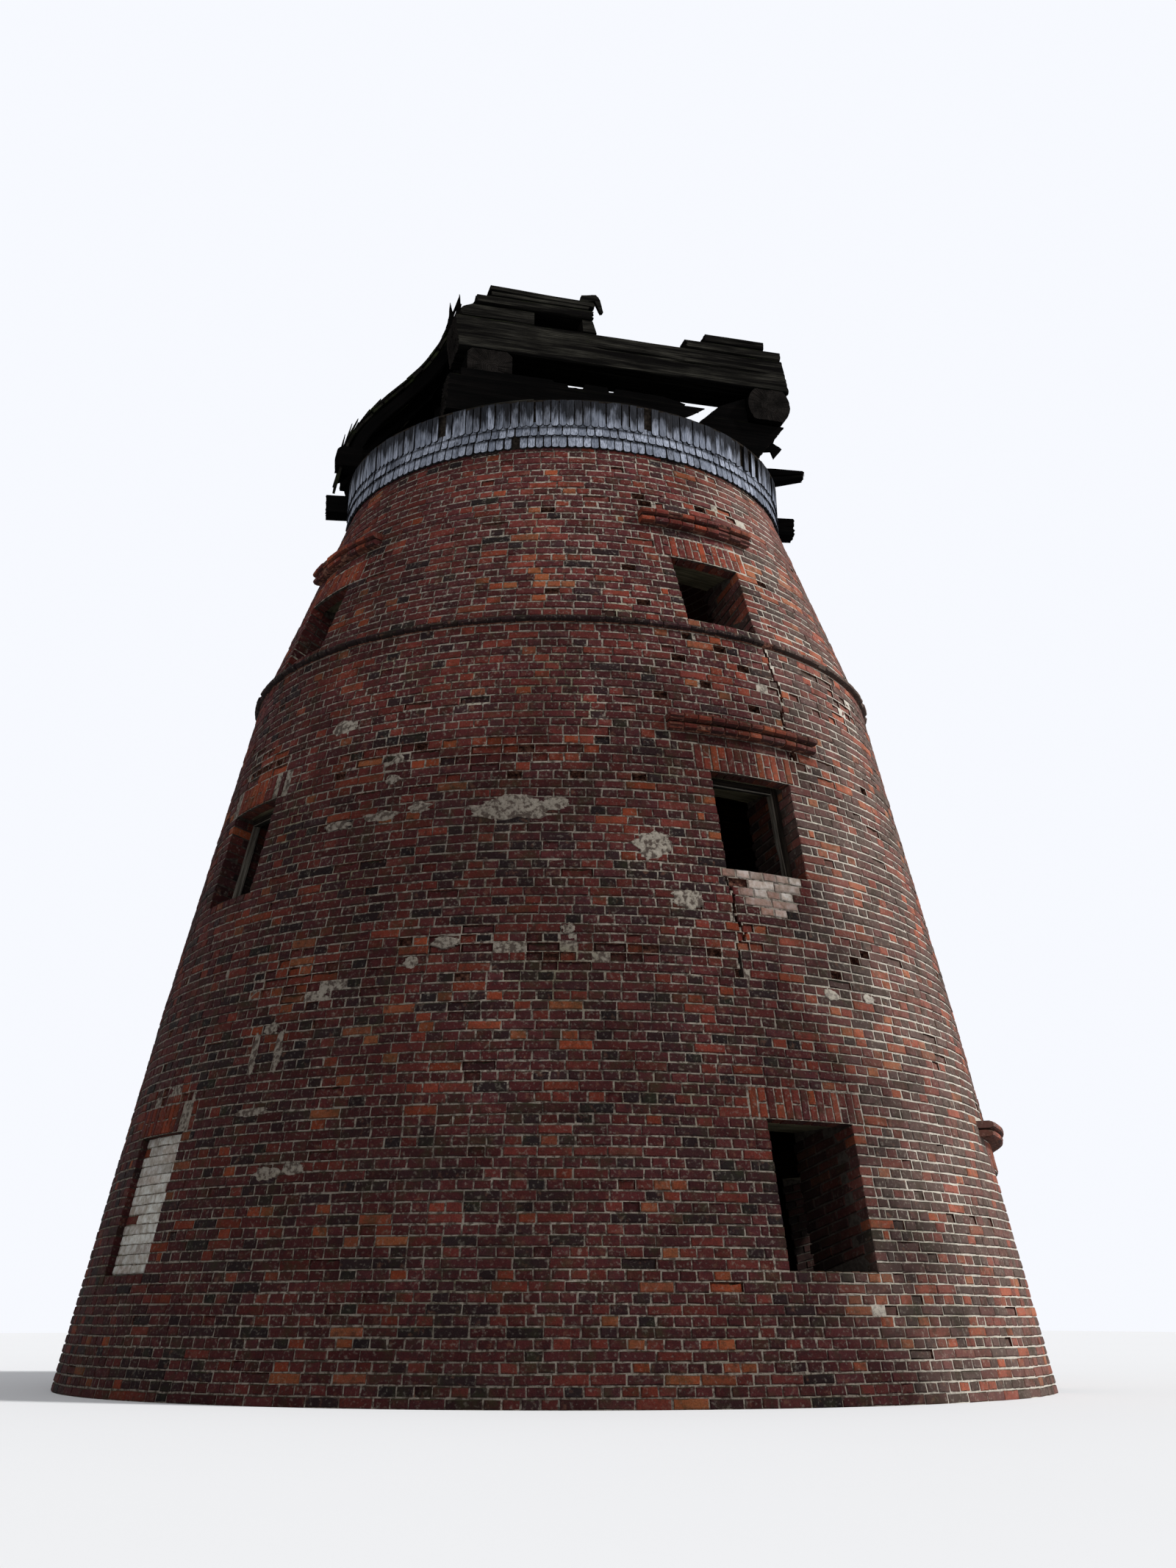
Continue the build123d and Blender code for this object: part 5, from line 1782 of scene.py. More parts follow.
def timber_mesh(name, matrices, section, seed, torn, checks, materials, grain=None):
    """Weathered timber along stations, each a matrix whose X runs along it; torn: how ragged its ends are."""
    grain = timber().grain if grain is None else grain
    draw = random.Random(timber().seed * 100 + seed)
    stations, girths = [0.0], [0.0]
    for before, after in zip(matrices, matrices[1:]):
        stations.append(stations[-1] + (after.translation - before.translation).length)
    for before, after in zip(section, section[1:] + section[:1]):
        girths.append(girths[-1] + math.hypot(after[0] - before[0], after[1] - before[1]))
    cracks = Checks(checks, girths[-1], stations[-1], draw)
    size, last = len(section), len(matrices) - 1
    verts, uvs, faces = [], [], []
    for i, (matrix, along) in enumerate(zip(matrices, stations)):
        for (across, up), around in zip(section, girths):
            knap = grain * (1.0 + rough(along * 1.3, around * 26.0, seed)) * 0.6
            broad = grain * (0.8 + rough(along * 2.4, around * 5.0, seed + 50)) * 0.7
            bite = knap + broad + cracks.depth(along, around)
            shift = 0.0
            for end, tear, layer in ((0, torn[0], 1.0), (last, -torn[1], 2.0)):
                if i == end and tear:
                    shift = tear * (0.5 + 0.5 * rough(around * 30.0, seed, layer)) * draw.uniform(0.3, 1.0)
            scale = max(0.1, 1.0 - bite / max(math.hypot(across, up), 0.001))
            verts.append(matrix @ Vector((shift, across * scale, up * scale)))
            uvs.append((along + shift + seed * 3.7, around))
    for i in range(last):
        faces += band(i * size, (i + 1) * size, size)
    indices = [0] * len(faces)
    ends = ((0, matrices[0], 1.0, torn[0]), (last * size, matrices[-1], -1.0, torn[1]))
    for ring, matrix, inward, ragged in ends:
        for narrow in (0.72, 0.40):
            made = len(verts)
            for across, up in section:
                hollow = rough(across * 14 * narrow, up * 14 * narrow, seed)
                sink = inward * (0.004 + 0.010 * hollow ** 2)
                sink += inward * ragged * 0.5 * draw.random()
                verts.append(matrix @ Vector((sink, across * narrow, up * narrow)))
                uvs.append((across * narrow, up * narrow))
            faces += band(ring, made, size)
            ring = made
        faces.append(tuple(range(ring, ring + size)))
    indices += [1] * (len(faces) - len(indices))
    mesh = tidy_mesh(name, verts, faces, materials, indices)
    layer = mesh.uv_layers.new(name="grain").data
    for face in mesh.polygons:
        corners = [mesh.loops[loop].vertex_index for loop in face.loop_indices]
        seam = any(vert % size == size - 1 for vert in corners)
        for loop, vert in zip(face.loop_indices, corners):
            u, v = uvs[vert]
            if face.material_index == 1:
                rim = vert < size or last * size <= vert < (last + 1) * size
                u, v = section[vert % size] if rim else (u, v)
            elif seam and vert % size == 0:
                v = girths[-1]
            layer[loop].uv = (u, v)
    return mesh


def straight(start, end, base, up=(0, 0, 1), step=None):
    """Stations from one point to another; base is the frame they are given in."""
    start, end = Vector(start), Vector(end)
    axis = (end - start).normalized()
    side = Vector(up).cross(axis).normalized()
    top = axis.cross(side)
    count = max(2, round((end - start).length / (step or timber().step_along)))
    return [base @ standing(start.lerp(end, i / count), axis, side, top) for i in range(count + 1)]


def beam(name, base, materials, row=None):
    """Squared timber along X in the cap's frame, from its row of sizes, with its ends leaning."""
    x_low, x_high, y, depth, z_low, height, seed, torn, checks = row or TIMBERS[name]
    path = straight((x_low, y, z_low + height / 2), (x_high, y, z_low + height / 2), base)
    section = box_section(depth, height, timber().step_across, min(timber().corner, height / 4, depth / 4))
    mesh = timber_mesh(name, path, section, seed, torn, checks, materials)
    if name in SLANTS:
        left, right = SLANTS[name]
        low, high = left[0][1], right[0][1]
        back = base.inverted()
        for vert in mesh.vertices:
            spot = back @ vert.co
            ends = [np.interp(spot.z, *zip(*side)) for side in (left, right)]
            spot.x = ends[0] + (spot.x - low) / (high - low) * (ends[1] - ends[0])
            vert.co = base @ spot
    return mesh


def shard(name, base, materials):
    """Flat splinter from its ragged outline, with a thickness, in the cap's frame."""
    y, thick, seed, outline = SHARDS[name]
    ragged = [
        (x + 0.006 * rough(x * 30, z * 30, seed), z + 0.006 * rough(z * 30, x * 30, seed))
        for x, z in split_outline(outline, 0.035)
    ]
    verts = [base @ Vector((x, y + side * thick / 2, z)) for side in (-1, 1) for x, z in ragged]
    mesh = tidy_mesh(name, verts, slab_faces(len(ragged)), materials)
    layer = mesh.uv_layers.new(name="grain").data
    back = base.inverted()
    for loop in mesh.loops:
        spot = back @ mesh.vertices[loop.vertex_index].co
        layer[loop.index].uv = (spot.x, spot.z + spot.y)
    return mesh


def finish_timber(name, node, parts):
    finish_piece(name, parts, [node])


class MILL_OT_frame_cap(bpy.types.Operator):
    """Hew the bolsters, sheers, breast beam and boards of the ruined cap"""

    bl_idname = "mill.frame_cap"
    bl_label = "Frame cap"

    def execute(self, context):
        across = timber().step_across
        base = cap_frame()
        oak, dark = oak_materials(), dark_oak_materials()
        front = [beam(name, base, dark) for name in ("front_bolster", "splinter", "right_bolster")]
        front += [shard(name, base, dark) for name in ("packing", "chock", "scrap")]
        finish_timber("front_bolster_timbers", "front_bolsters", front)
        turned = Matrix.Rotation(math.radians(REAR_TURN), 4, "Z")
        behind = base @ Matrix.Translation((0.0, REAR_Y, 0.0)) @ turned
        rear = [beam(name, behind, dark) for name in ("rear_main", "rear_left", "rear_right")]
        finish_timber("rear_bolster_timber", "rear_bolster", rear)
        middle = (BOLSTER_TOP + SHEER_TOP) / 2
        sections = (box_section(*SQUARED_SHEER, across, 0.05), log_section(*ROUND_SHEER, across))
        for seed, (side, x, back), section in zip((6, 7), SHEERS, sections):
            path = straight((x, SHEER_FRONT, middle), (x, back, middle), base)
            log = timber_mesh(f"{side}_log", path, section, seed, (0.015, 0.06), 6, dark)
            finish_timber(f"{side}_sheer_log", f"{side}_sheer", [log])
        finish_timber("breast_beam_timber", "breast_beam", [beam("breast", base, oak)])
        blocks = [beam(name, base, oak) for name in ("left_block", "right_block")]
        finish_timber("bearing_block_timbers", "bearing_blocks", blocks)
        flat = box_section(*TILTED_SECTION, across, 0.008)
        tilted = timber_mesh("tilted", straight(*TILTED_PLANK, base), flat, 12, (0.05, 0.05), 3, oak)
        planks = [beam("cover", base, oak), tilted, beam("wedge", base, oak), shard("curl", base, oak)]
        finish_timber("bearing_cover_planks", "bearing_cover", planks)
        boards = [beam(name, base, oak) for name in ("lower_board", "upper_board")]
        finish_timber("top_board_planks", "top_boards", boards + [shard("peg", base, oak)])
        self.lay_broken_board(base, dark)
        return {"FINISHED"}

    @staticmethod
    def lay_broken_board(base, dark):
        """Torn timber on the right, thinner towards its tip."""
        aside = base @ Matrix.Rotation(math.radians(BROKEN_TURN), 4, "Z")
        broken = beam("broken", aside, dark)
        back = aside.inverted()
        for vert in broken.vertices:
            spot = back @ vert.co
            out = max(0.0, (spot.x - CURB_RADIUS) / (BROKEN_HIGH - CURB_RADIUS))
            up = (spot.z - CURB_TOP) / BROKEN_HEIGHT
            spot.z = CURB_TOP + out * BROKEN_RISE + up * (BROKEN_HEIGHT - out * BROKEN_THINNING)
            vert.co = aside @ spot
        finish_timber("broken_board_timber", "broken_board", [broken])


class RoofSkin:
    """The roof fragment's outside, looked up on its CAD node, in the cap's frame."""

    def __init__(self):
        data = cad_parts["roof_fragment"].data
        back = cap_frame().inverted()
        faces = [tuple(face.vertices) for face in data.polygons]
        self.tree = BVHTree.FromPolygons([back @ vert.co for vert in data.vertices], faces)

    def at(self, y, z):
        """Point and normal of the outside at a place along and a height, or None."""
        hit, normal, _, _ = self.tree.ray_cast(Vector((-4.0, y, z)), Vector((1.0, 0.0, 0.0)))
        return None if hit is None else (hit, normal)


def roof_lean(normal):
    return math.atan2(normal.z, -normal.x)


class MILL_OT_hang_roof(bpy.types.Operator):
    """Hang the torn piece of roof: boards, ragged shingles, rafters and trestle"""

    bl_idname = "mill.hang_roof"
    bl_label = "Hang roof"

    def execute(self, context):
        sizes, book = shingles(), shingle_book()
        draw = random.Random(sizes.seed + 5)
        skin, base = RoofSkin(), cap_frame()
        # Painted shade: the roof's rafters, trestle and scraps are in near black wood, darker than the lit
        # oak.
        dark = (wood_material("roof_timbers_in_shade", srgb(15, 13, 12), srgb(6, 6, 6)), end_grain_material())
        wood = shingle_material("roof_shingle_wood", srgb(38, 36, 32), srgb(14, 13, 12), moss=0.4)
        parts = [
            self.shingle_bed(skin, base, draw).lay("roof_shingles", book, wood, 0.03, 0.004, sizes.seed),
            self.board_bed(skin, base, draw).lay("roof_boarding", book, wood, 0.008, 0.002, sizes.seed + 1),
        ]
        for name in ("verge_tip_0", "verge_tip_1", "eave_block", "eave_scrap_0", "eave_scrap_1"):
            parts.append(shard(name, base, dark[:1]))
        finish_piece("roof_fragment_shingles", parts, ["roof_fragment"])
        finish_timber("roof_rafter_timbers", "roof_rafters", self.rafters(skin, base, dark))
        posts = []
        section = box_section(POST, POST, 0.02, 0.012)
        for index, y in enumerate(POST_PLACES):
            path = straight((TRESTLE_X, y, SHEER_TOP), (TRESTLE_X, y, POST_TOP), base, up=(0, 1, 0))
            posts.append(timber_mesh(f"post_{index}", path, section, 30 + index, (0, 0), 2, dark))
        posts.append(timber_mesh("purlin", straight(*PURLIN_ENDS, base), section, 33, (0.03, 0.05), 3, dark))
        finish_timber("roof_trestle_timbers", "roof_trestle", posts + [shard("back_plank", base, dark)])
        return {"FINISHED"}

    @staticmethod
    def hanging(lean, base):
        """Angles of a piece that hangs on the left side of the roof, front to the left."""
        rotation = base.to_3x3() @ Matrix.Rotation(-math.pi / 2, 3, "Z") @ Matrix.Rotation(-lean, 3, "X")
        return tuple(rotation.to_euler())

    def shingle_bed(self, skin, base, draw):
        """Rows of ragged shingles, from the eave up; the torn edge runs from the eave's front to the back."""
        sizes, book = shingles(), shingle_book()
        bed = Bed()
        z = ROOF_LOW
        while z < ROOF_HIGH:
            spot = skin.at(0.3, z)
            lean = roof_lean(spot[1]) if spot else 0.7
            y = ROOF_FRONT + draw.uniform(-0.02, 0.02)
            while y < min(ROOF_BACK, TORN_START + (z - ROOF_LOW) * TORN_SLOPE):
                place = skin.at(y, z + 0.03)
                if place and draw.random() > sizes.lost * 1.5:
                    point, normal = place
                    lean = roof_lean(normal)
                    room = (ROOF_HIGH - point.z) / math.cos(lean)
                    tall = min(sizes.roof_row * 2.0 * draw.uniform(0.9, 1.15), room)
                    up = Vector((math.sin(lean), 0.0, math.cos(lean)))
                    top = base @ (point + up * (tall - 0.02) + normal * -0.006)
                    size = (1.0, 1.0, tall / SHINGLE_TALL)
                    form = book.pick("ragged", draw)
                    bed.add(top, self.hanging(lean, base), size, form, draw.uniform(0, 1), 0.5 * (y < -0.12))
                y += sizes.width * draw.uniform(0.85, 1.12)
            z += sizes.roof_row * math.cos(lean)
        return bed

    def board_bed(self, skin, base, draw):
        """Boards under the shingles, each from one torn end to the other."""
        bed = Bed()
        z = ROOF_BOARD_LOW
        while z < ROOF_BOARD_HIGH:
            spot = skin.at(0.3, z) or skin.at(0.0, z)
            if spot is None:
                break
            point, normal = spot
            lean = roof_lean(normal)
            ends = [y / 50 for y in range(-10, 76) if skin.at(y / 50, z)]
            first, last = ends[0] - draw.uniform(-0.03, 0.02), ends[-1]
            centre = base @ (Vector((point.x, (first + last) / 2, point.z)) - normal * 0.034)
            size = (last - first, ROOF_BOARD_THICK, ROOF_BOARD_WIDE)
            bed.add(centre, self.hanging(lean, base), size, shingle_book().pick("board", draw), draw.random())
            z += ROOF_BOARD_PITCH * math.cos(lean)
        return bed

    @staticmethod
    def rafters(skin, base, dark):
        """Rafters behind the boards, with a lookout at the foot of the first two."""
        meshes = []
        side = Vector((0, 1, 0))
        section = box_section(*RAFTER_SECTION, 0.02, 0.012)
        for index, y in enumerate(RAFTER_PLACES):
            points = []
            z = RAFTER_LOW if index < 2 else BACK_RAFTER_LOW
            while z < RAFTER_HIGH:
                spot = skin.at(y, z)
                if spot:
                    points.append(spot[0] - spot[1] * RAFTER_INSET)
                z += 0.1
            path = []
            for before, point, after in zip(points[:1] + points, points, points[1:] + points[-1:]):
                ahead = (after - before).normalized()
                path.append(base @ standing(point, ahead, side, ahead.cross(side)))
            meshes.append(timber_mesh(f"rafter_{index}", path, section, 20 + index, (0.01, 0.1), 2, dark))
            if index < 2:
                row = (*LOOKOUT_ENDS, y, LOOKOUT_DEPTH, CURB_TOP, LOOKOUT_TALL, 25 + index, (0.04, 0.02), 2)
                meshes.append(beam("lookout", base, dark, row))
        return meshes


def skirt_rows():
    """Level of the foot of each row of the skirt."""
    sizes = shingles()
    return SKIRT_LOW, SKIRT_LOW + sizes.lower_row, SKIRT_LOW + sizes.lower_row + sizes.middle_row


class MILL_OT_hang_skirt(bpy.types.Operator):
    """Hang the three rows of round-ended shingles and set the timber curb behind them"""

    bl_idname = "mill.hang_skirt"
    bl_label = "Hang skirt"

    def execute(self, context):
        sizes, book = shingles(), shingle_book()
        draw = random.Random(sizes.seed)
        bed = Bed()
        rows = skirt_rows()
        for row, bottom in enumerate(rows):
            highest = row == len(rows) - 1
            top = SKIRT_HIGH if highest else rows[row + 1] + 0.06
            radius = SKIRT_LOW_RADIUS - 0.004 - row * 0.006
            count = round(2 * math.pi * radius / sizes.width)
            lean = math.atan2(0.008 if highest else 0.034, top - bottom)
            for i in range(count):
                turn = (i + 0.5 * (row % 2)) * 360.0 / count + draw.uniform(-0.15, 0.15)
                if draw.random() < self.lost(turn % 360.0, highest):
                    continue
                tall = (top - bottom) * draw.uniform(0.965, 1.01)
                place = place_at(turn, radius - math.tan(lean) * (top - bottom), top)
                stain = self.stain(turn % 360.0, highest, draw)
                angles = (-lean, draw.uniform(-0.02, 0.02), math.radians(turn))
                size = (draw.uniform(0.93, 1.04), 1.0, tall / math.cos(lean) / SHINGLE_TALL)
                form = book.pick("ragged" if highest and 12.0 < turn < 52.0 else "round", draw)
                bed.add(place, angles, size, form, draw.uniform(0.35, 1.0), stain)
        silver = tuple(context.scene.mill_colours.silver)
        material = shingle_material("skirt_shingle_wood", silver, srgb(74, 80, 92), on_skirt=True)
        parts = self.backing() + [bed.lay("skirt", book, material, 0.012, 0.003, sizes.seed)]
        finish_piece("skirt_shingles", parts, ["shingle_skirt"])
        self.set_curb()
        return {"FINISHED"}

    @staticmethod
    def lost(turn, highest):
        """Chance that a shingle is gone; the top row has holes towards the right."""
        if highest and abs(turn_gap(turn, 352.0)) < 1.2:
            return 0.9
        if highest and 12.0 < turn < 52.0:
            return 0.22
        return shingles().lost * 0.3

    @staticmethod
    def stain(turn, highest, draw):
        """Dark streaks under the curb."""
        if highest and draw.random() < 0.18 + 0.25 * (rough(turn * 0.09, 0.0, 4.0) > 0):
            return draw.uniform(0.15, 0.55)
        return 0.45 * (draw.random() < 0.08)

    @staticmethod
    def backing():
        """Boards behind the shingles, and the lath on their top edge."""
        (z_low, r_low), (z_high, r_high) = PROFILE[-2:]
        inner = CURB_RADIUS + CLEARANCE
        meet = z_high - (inner - r_high) * (z_high - z_low) / (r_low - r_high)
        foot = SKIRT_LOW + 0.008
        boards = (
            (SKIRT_LOW_RADIUS - 0.034, foot), (SKIRT_HIGH_RADIUS - 0.03, SKIRT_HIGH), (inner, SKIRT_HIGH),
            (inner, meet), (wall_radius(SKIRT_LOW) + 0.001, foot),
        )
        high, far = SKIRT_HIGH, SKIRT_HIGH_RADIUS
        lath = ((far - 0.002, high - 0.016), (far, high), (far - 0.02, high), (far - 0.02, high - 0.016))
        rows = (("skirt_backing", boards), ("skirt_rim", lath))
        return [ring_sweep(name, profile, 0.0, 360.0, shade_backing_material()) for name, profile in rows]

    @staticmethod
    def set_curb():
        """Segments of the curb ring, each hewn from one timber."""
        segments, steps, gap = 10, 14, 0.08
        middle, half = (CURB_RADIUS + CURB_INNER) / 2, (CURB_RADIUS - CURB_INNER) / 2
        centre = (PROFILE[-1][0] + CURB_TOP) / 2
        low, lip, top = PROFILE[-1][0] - centre, SKIRT_HIGH - centre, CURB_TOP - centre
        inset = half - CURB_REBATE
        outline = ((half, low), (half, lip), (inset, lip), (inset, top), (-half, top), (-half, low))
        section = split_outline(outline, 0.04)
        meshes = []
        for index in range(segments):
            start = index * 360.0 / segments + gap
            end = (index + 1) * 360.0 / segments - gap
            turns = [start + (end - start) * i / steps for i in range(steps + 1)]
            up = Vector((0, 0, 1))
            path = [standing(place_at(at, middle, centre), sideways(at), outward(at), up) for at in turns]
            name, seed = f"felloe_{index}", 40 + index
            meshes.append(timber_mesh(name, path, section, seed, (0, 0), 3, oak_materials(), 0.003))
        finish_timber("curb_felloes", "curb_ring", meshes)


class MILL_OT_lay_floors(bpy.types.Operator):
    """Lay the brick paving, the joists and the floor boards"""

    bl_idname = "mill.lay_floors"
    bl_label = "Lay floors"

    def execute(self, context):
        self.pave()
        for name, (_, level, _, wall) in zip(("first_floor", "second_floor"), STOREYS[1:]):
            self.joists(name, level, wall)
            self.boards(name, level + JOIST, wall)
        return {"FINISHED"}

    @staticmethod
    def pave():
        """Bricks laid flat on a bed of mortar."""
        sizes, book = brickwork(), brick_book()
        draw = random.Random(sizes.seed + 61)
        bed = Bed()
        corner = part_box("ground_floor_paving")[1]
        room, top = corner.x - 0.004, corner.z
        size = (1.0, 1.0, sizes.brick_width / sizes.brick_height)
        row, y = 0, 0.07 - room
        while y < room:
            x = -room - (row % 2) * 0.131
            while x < room + 0.2:
                if math.hypot(abs(x) + 0.125, abs(y) + 0.06) < room:
                    tone = draw.uniform(0.15, 0.7)
                    form = book.pick("stretcher", draw)
                    bed.add((x, y, top), (-math.pi / 2, 0.0, 0.0), size, form, tone, draw.uniform(0, 0.25))
                x += sizes.brick_length + PAVING_JOINT
            y += sizes.brick_width + PAVING_JOINT
            row += 1
        ways = [outward(360.0 * i / 96) for i in range(96)]
        verts = [(way.x * room, way.y * room, z) for z in (0.0, top - 0.006) for way in ways]
        slab = tidy_mesh("paving_bed", verts, slab_faces(len(ways)), [mortar_material()])
        laid = bed.lay("paving", book, brick_material(), 0.006, 0.002, sizes.seed)
        finish_piece("ground_floor_brick_paving", [slab, laid], ["ground_floor_paving"])

    @staticmethod
    def joists(name, level, wall):
        room = wall_radius(level + JOIST) - wall - CLEARANCE
        count = 2 * round(room / JOIST_SPACING)
        wood = wood_material("floor_timber_wood", srgb(122, 100, 78), srgb(64, 52, 42))
        section = box_section(JOIST - 0.004, JOIST - 0.002, 0.026, 0.008)
        level += JOIST / 2
        meshes = []
        for index in range(count):
            y = (index - (count - 1) / 2) * JOIST_SPACING
            half = math.sqrt(room ** 2 - (abs(y) + JOIST / 2) ** 2)
            path = straight((-half, y, level), (half, y, level), Matrix.Identity(4), step=0.12)
            materials = (wood, end_grain_material())
            joist = timber_mesh(f"{name}_joist", path, section, 60 + index, (0, 0), 3, materials, 0.003)
            meshes.append(joist)
        finish_piece(f"{name}_joist_timbers", meshes, [f"{name}_joists"])

    @staticmethod
    def boards(name, level, wall):
        """Boards from wall to wall, each cut once somewhere."""
        sizes, book = shingles(), shingle_book()
        draw = random.Random(sizes.seed + round(level * 10))
        room = wall_radius(level + BOARD) - wall - 0.002
        wide = BOARD_WIDE
        count = math.ceil(2 * room / wide)
        angles = (-math.pi / 2, 0.0, math.pi / 2)
        bed = Bed()
        for index in range(count):
            x = (index + 0.5) * wide - count * wide / 2
            edge = abs(x) + wide / 2
            if edge >= room - 0.05:
                continue
            half = math.sqrt(room ** 2 - edge ** 2)
            cut = draw.uniform(-0.5, 0.5) * half
            for low, high in ((-half, cut - 0.002), (cut + 0.002, half)):
                size = (high - low, BOARD - 0.002, wide - 0.006)
                form = book.pick("board", draw)
                bed.add((x, (low + high) / 2, level + BOARD), angles, size, form, draw.random())
        material = shingle_material("floor_board_wood", srgb(138, 116, 92), srgb(78, 62, 48))
        laid = bed.lay(name + "_boarding", book, material, 0.002, 0.001, sizes.seed)
        finish_piece(f"{name}_planks", [laid], [f"{name}_boards"])


class MILL_OT_fit_frames(bpy.types.Operator):
    """Fit what is left of the window frames, and weather the timbers over the openings"""

    bl_idname = "mill.fit_frames"
    bl_label = "Fit frames"

    def execute(self, context):
        width, sill, head = MIDDLE_WINDOW
        painted = wood_material("frame_paint_wood", srgb(132, 128, 120), srgb(84, 78, 70))
        # Painted shade: the darker wood stands for the shaded part of each stile and rail.
        weathered = wood_material("frame_shaded_wood", srgb(62, 54, 46), srgb(28, 24, 21))
        pale, bare = (painted, end_grain_material()), (weathered, end_grain_material())
        stiles, rails = [], []
        back = FRAME_MIDDLE
        for index, turn in enumerate(COLUMN_TURNS):
            base = Matrix.Rotation(math.radians(turn), 4, "Z")
            foot, top = back - wall_radius(sill), back - wall_radius(head)
            places = [(*STILE_BEAD, pale), (*STILE_SHADED, bare)]
            if turn == BLOCKED_TURN:
                places.append((width - FAR_STILE[0], FAR_STILE[1], pale))
            for inset, wide, materials in places:
                x = width / 2 - inset
                path = straight((x, foot, sill + 0.002), (x, top, head - 0.002), base, (0, -1, 0))
                section = box_section(wide, FRAME_DEPTH, 0.012, 0.003)
                name, seed = f"stile_{index}", 70 + index
                stiles.append(timber_mesh(name, path, section, seed, (0.0, 0.0), 2, materials, 0.0015))
            y = back - wall_radius(head - 0.07)
            for drop, high, materials in ((*RAIL_BEAD, pale), (*RAIL_SHADED, bare)):
                ends = (0.003 - width / 2, y, head - drop), (width / 2 - 0.082, y, head - drop)
                section = box_section(FRAME_DEPTH, high, 0.012, 0.003)
                name, seed, path = f"rail_{index}", 80 + index, straight(*ends, base)
                rails.append(timber_mesh(name, path, section, seed, (0.01, 0.0), 2, materials, 0.0015))
        finish_piece("frame_stile_posts", stiles, ["frame_stiles"])
        finish_piece("frame_head_rails", rails, ["frame_rails"])
        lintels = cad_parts["timber_lintels"]
        lintels.data.materials.clear()
        lintels.data.materials.append(lintel_material())
        return {"FINISHED"}


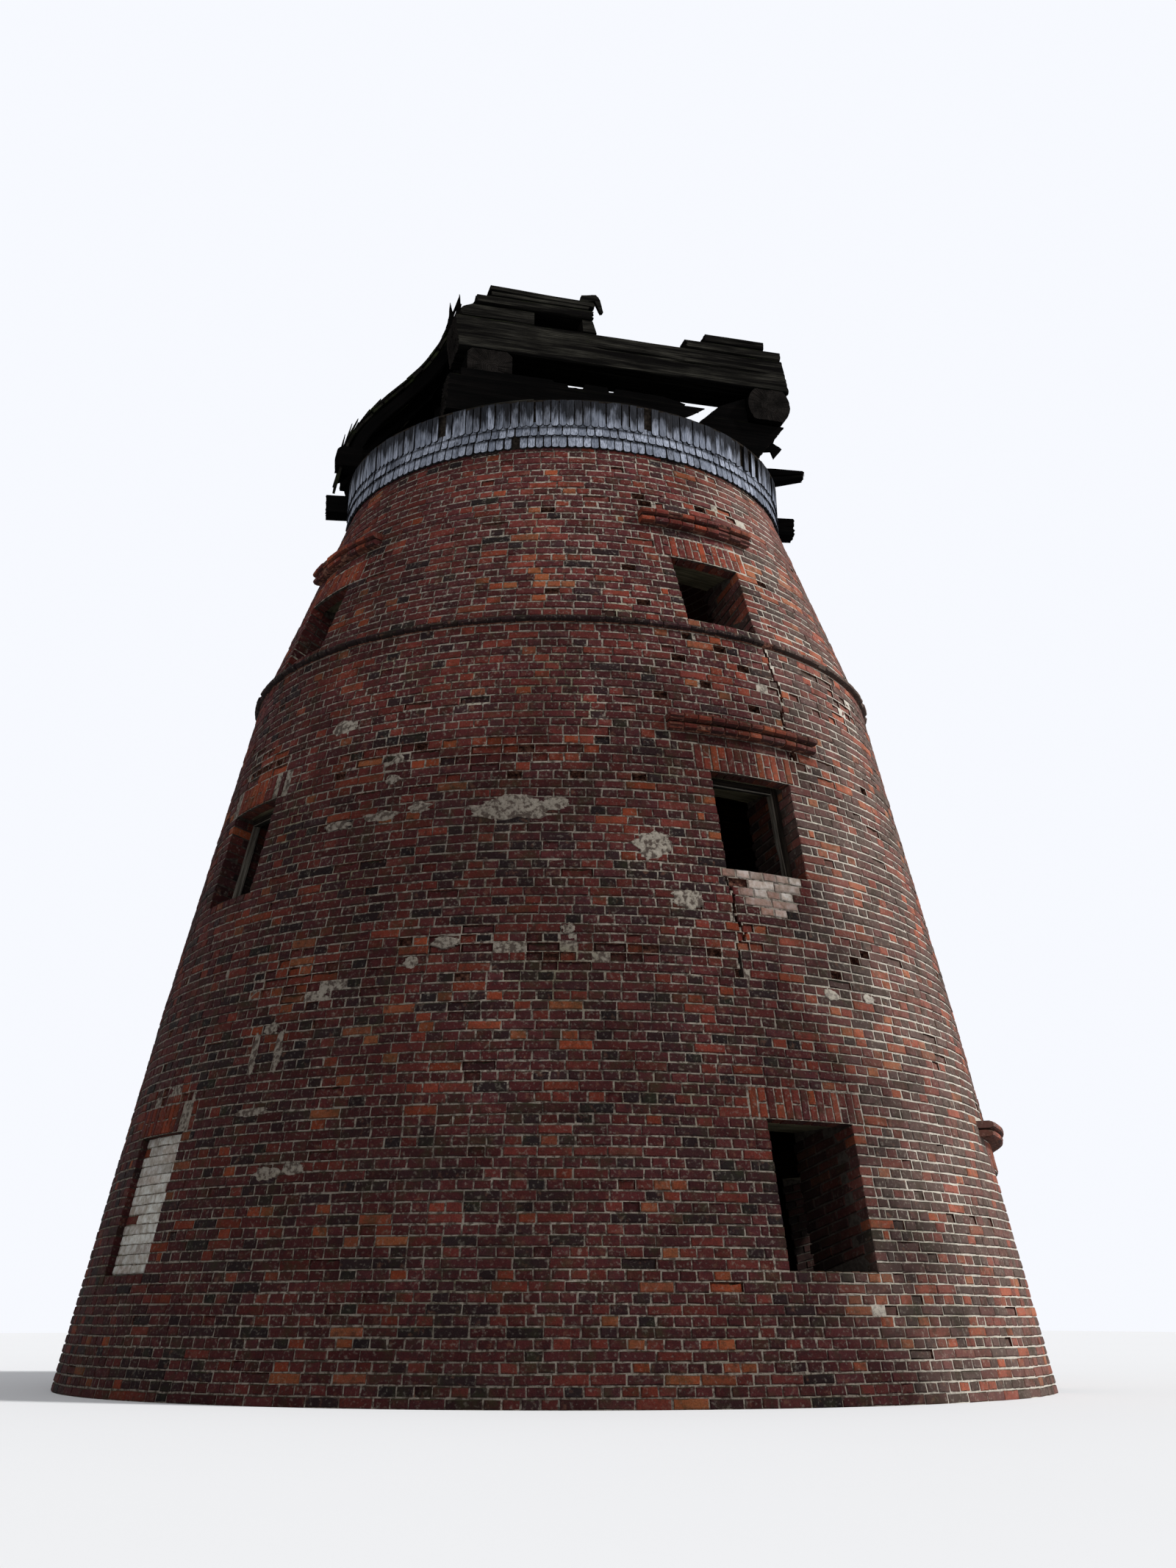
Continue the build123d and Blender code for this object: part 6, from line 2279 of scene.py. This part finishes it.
class MILL_OT_set_stage(bpy.types.Operator):
    """Set the pale floor, the soft lights and the camera where the photograph was taken"""

    bl_idname = "mill.set_stage"
    bl_label = "Set stage"

    def execute(self, context):
        scene = context.scene
        stage = scene.mill_stage
        verts = [(-60, -60, 0), (60, -60, 0), (60, 60, 0), (-60, 60, 0)]
        sheet = tidy_mesh("stage_floor", verts, [(0, 1, 2, 3)], [stage_material()])
        floor = mesh_object("stage_floor", sheet)
        scene.world = bpy.data.worlds.new("sky")
        scene.world.use_nodes = True
        tree = scene.world.node_tree
        tree.nodes.clear()
        add = partial(put, tree)
        seen = add("ShaderNodeLightPath").outputs
        rows = [(0, seen["Is Camera Ray"]), (1, seen["Is Glossy Ray"])]
        direct = add("ShaderNodeMath", rows, operation="MAXIMUM")
        rows = [(0, direct.outputs[0]), (1, seen["Is Transmission Ray"])]
        direct = add("ShaderNodeMath", rows, operation="MAXIMUM")
        rows = [("Value", direct.outputs[0]), ("To Min", stage.sky), ("To Max", 1.0)]
        strength = add("ShaderNodeMapRange", rows)
        rows = [("Color", (0.93, 0.95, 1.0, 1.0)), ("Strength", strength.outputs[0])]
        sky = add("ShaderNodeBackground", rows)
        add("ShaderNodeOutputWorld", [(0, sky.outputs[0])])
        self.lamp("key_light", -78.0, 42.0, stage.key, 6.0)
        self.lamp("fill_light", -10.0, 30.0, stage.key * 0.14, 40.0)
        self.camera(scene)
        scene.view_settings.view_transform = "Standard"
        return {"FINISHED"}

    @staticmethod
    def lamp(name, aside, rise, strength, spread):
        """Sun lamp, given how far beside the camera and how high it stands in degrees."""
        data = bpy.data.lights.new(name, "SUN")
        data.energy = strength
        data.angle = math.radians(spread)
        lamp = bpy.data.objects.new(name, data)
        height = math.radians(rise)
        direction = outward(CAMERA_TURN - aside) * math.cos(height) + Vector((0, 0, math.sin(height)))
        lamp.rotation_euler = direction.to_track_quat("Z", "Y").to_euler()
        lamp.location = direction * 30
        bpy.context.scene.collection.objects.link(lamp)

    @staticmethod
    def camera(scene):
        data = bpy.data.cameras.new("camera")
        data.sensor_fit = "VERTICAL"
        data.sensor_height = 24.0
        data.lens = data.sensor_height * PHOTO_FOCAL / PHOTO_HEIGHT
        data.clip_end = 300.0
        camera = bpy.data.objects.new("camera", data)
        heading = Matrix.Rotation(math.radians(CAMERA_TURN - CAMERA_YAW), 4, "Z")
        pitch = Matrix.Rotation(math.radians(90.0 + CAMERA_PITCH), 4, "X")
        roll = Matrix.Rotation(math.radians(CAMERA_ROLL), 4, "Z")
        place = place_at(CAMERA_TURN, CAMERA_DISTANCE, CAMERA_HEIGHT)
        camera.matrix_world = Matrix.Translation(place) @ heading @ pitch @ roll
        scene.collection.objects.link(camera)
        scene.camera = camera


class MILL_PT_panel(bpy.types.Panel):
    """Lists the steps that build the mill"""

    bl_idname = "MILL_PT_panel"
    bl_label = "Ruined tower mill"
    bl_space_type = "VIEW_3D"
    bl_region_type = "UI"
    bl_category = "Mill"

    def draw(self, context):
        for step in STEPS:
            self.layout.operator(step.bl_idname)
        for name in SETTINGS:
            box = self.layout.box()
            group = getattr(context.scene, name)
            for field in group.bl_rna.properties.keys()[2:]:
                box.prop(group, field)


SETTINGS = {
    "mill_brickwork": MillBrickwork,
    "mill_shingles": MillShingles,
    "mill_timber": MillTimber,
    "mill_colours": MillColours,
    "mill_stage": MillStage,
}
STEPS = (
    MILL_OT_lay_walls,
    MILL_OT_set_lintels,
    MILL_OT_lay_mouldings,
    MILL_OT_fill_blocked_window,
    MILL_OT_smear_mortar,
    MILL_OT_fit_frames,
    MILL_OT_lay_floors,
    MILL_OT_hang_skirt,
    MILL_OT_frame_cap,
    MILL_OT_hang_roof,
    MILL_OT_set_stage,
)


def register():
    for name, group in SETTINGS.items():
        bpy.utils.register_class(group)
        setattr(bpy.types.Scene, name, bpy.props.PointerProperty(type=group))
    for kind in (*STEPS, MILL_PT_panel):
        bpy.utils.register_class(kind)


def unregister():
    for kind in (MILL_PT_panel, *reversed(STEPS)):
        bpy.utils.unregister_class(kind)
    for name, group in reversed(SETTINGS.items()):
        delattr(bpy.types.Scene, name)
        bpy.utils.unregister_class(group)


def main():
    register()
    for step in STEPS:
        group, name = step.bl_idname.split(".")
        getattr(getattr(bpy.ops, group), name)()


if __name__ == "__main__":
    main()
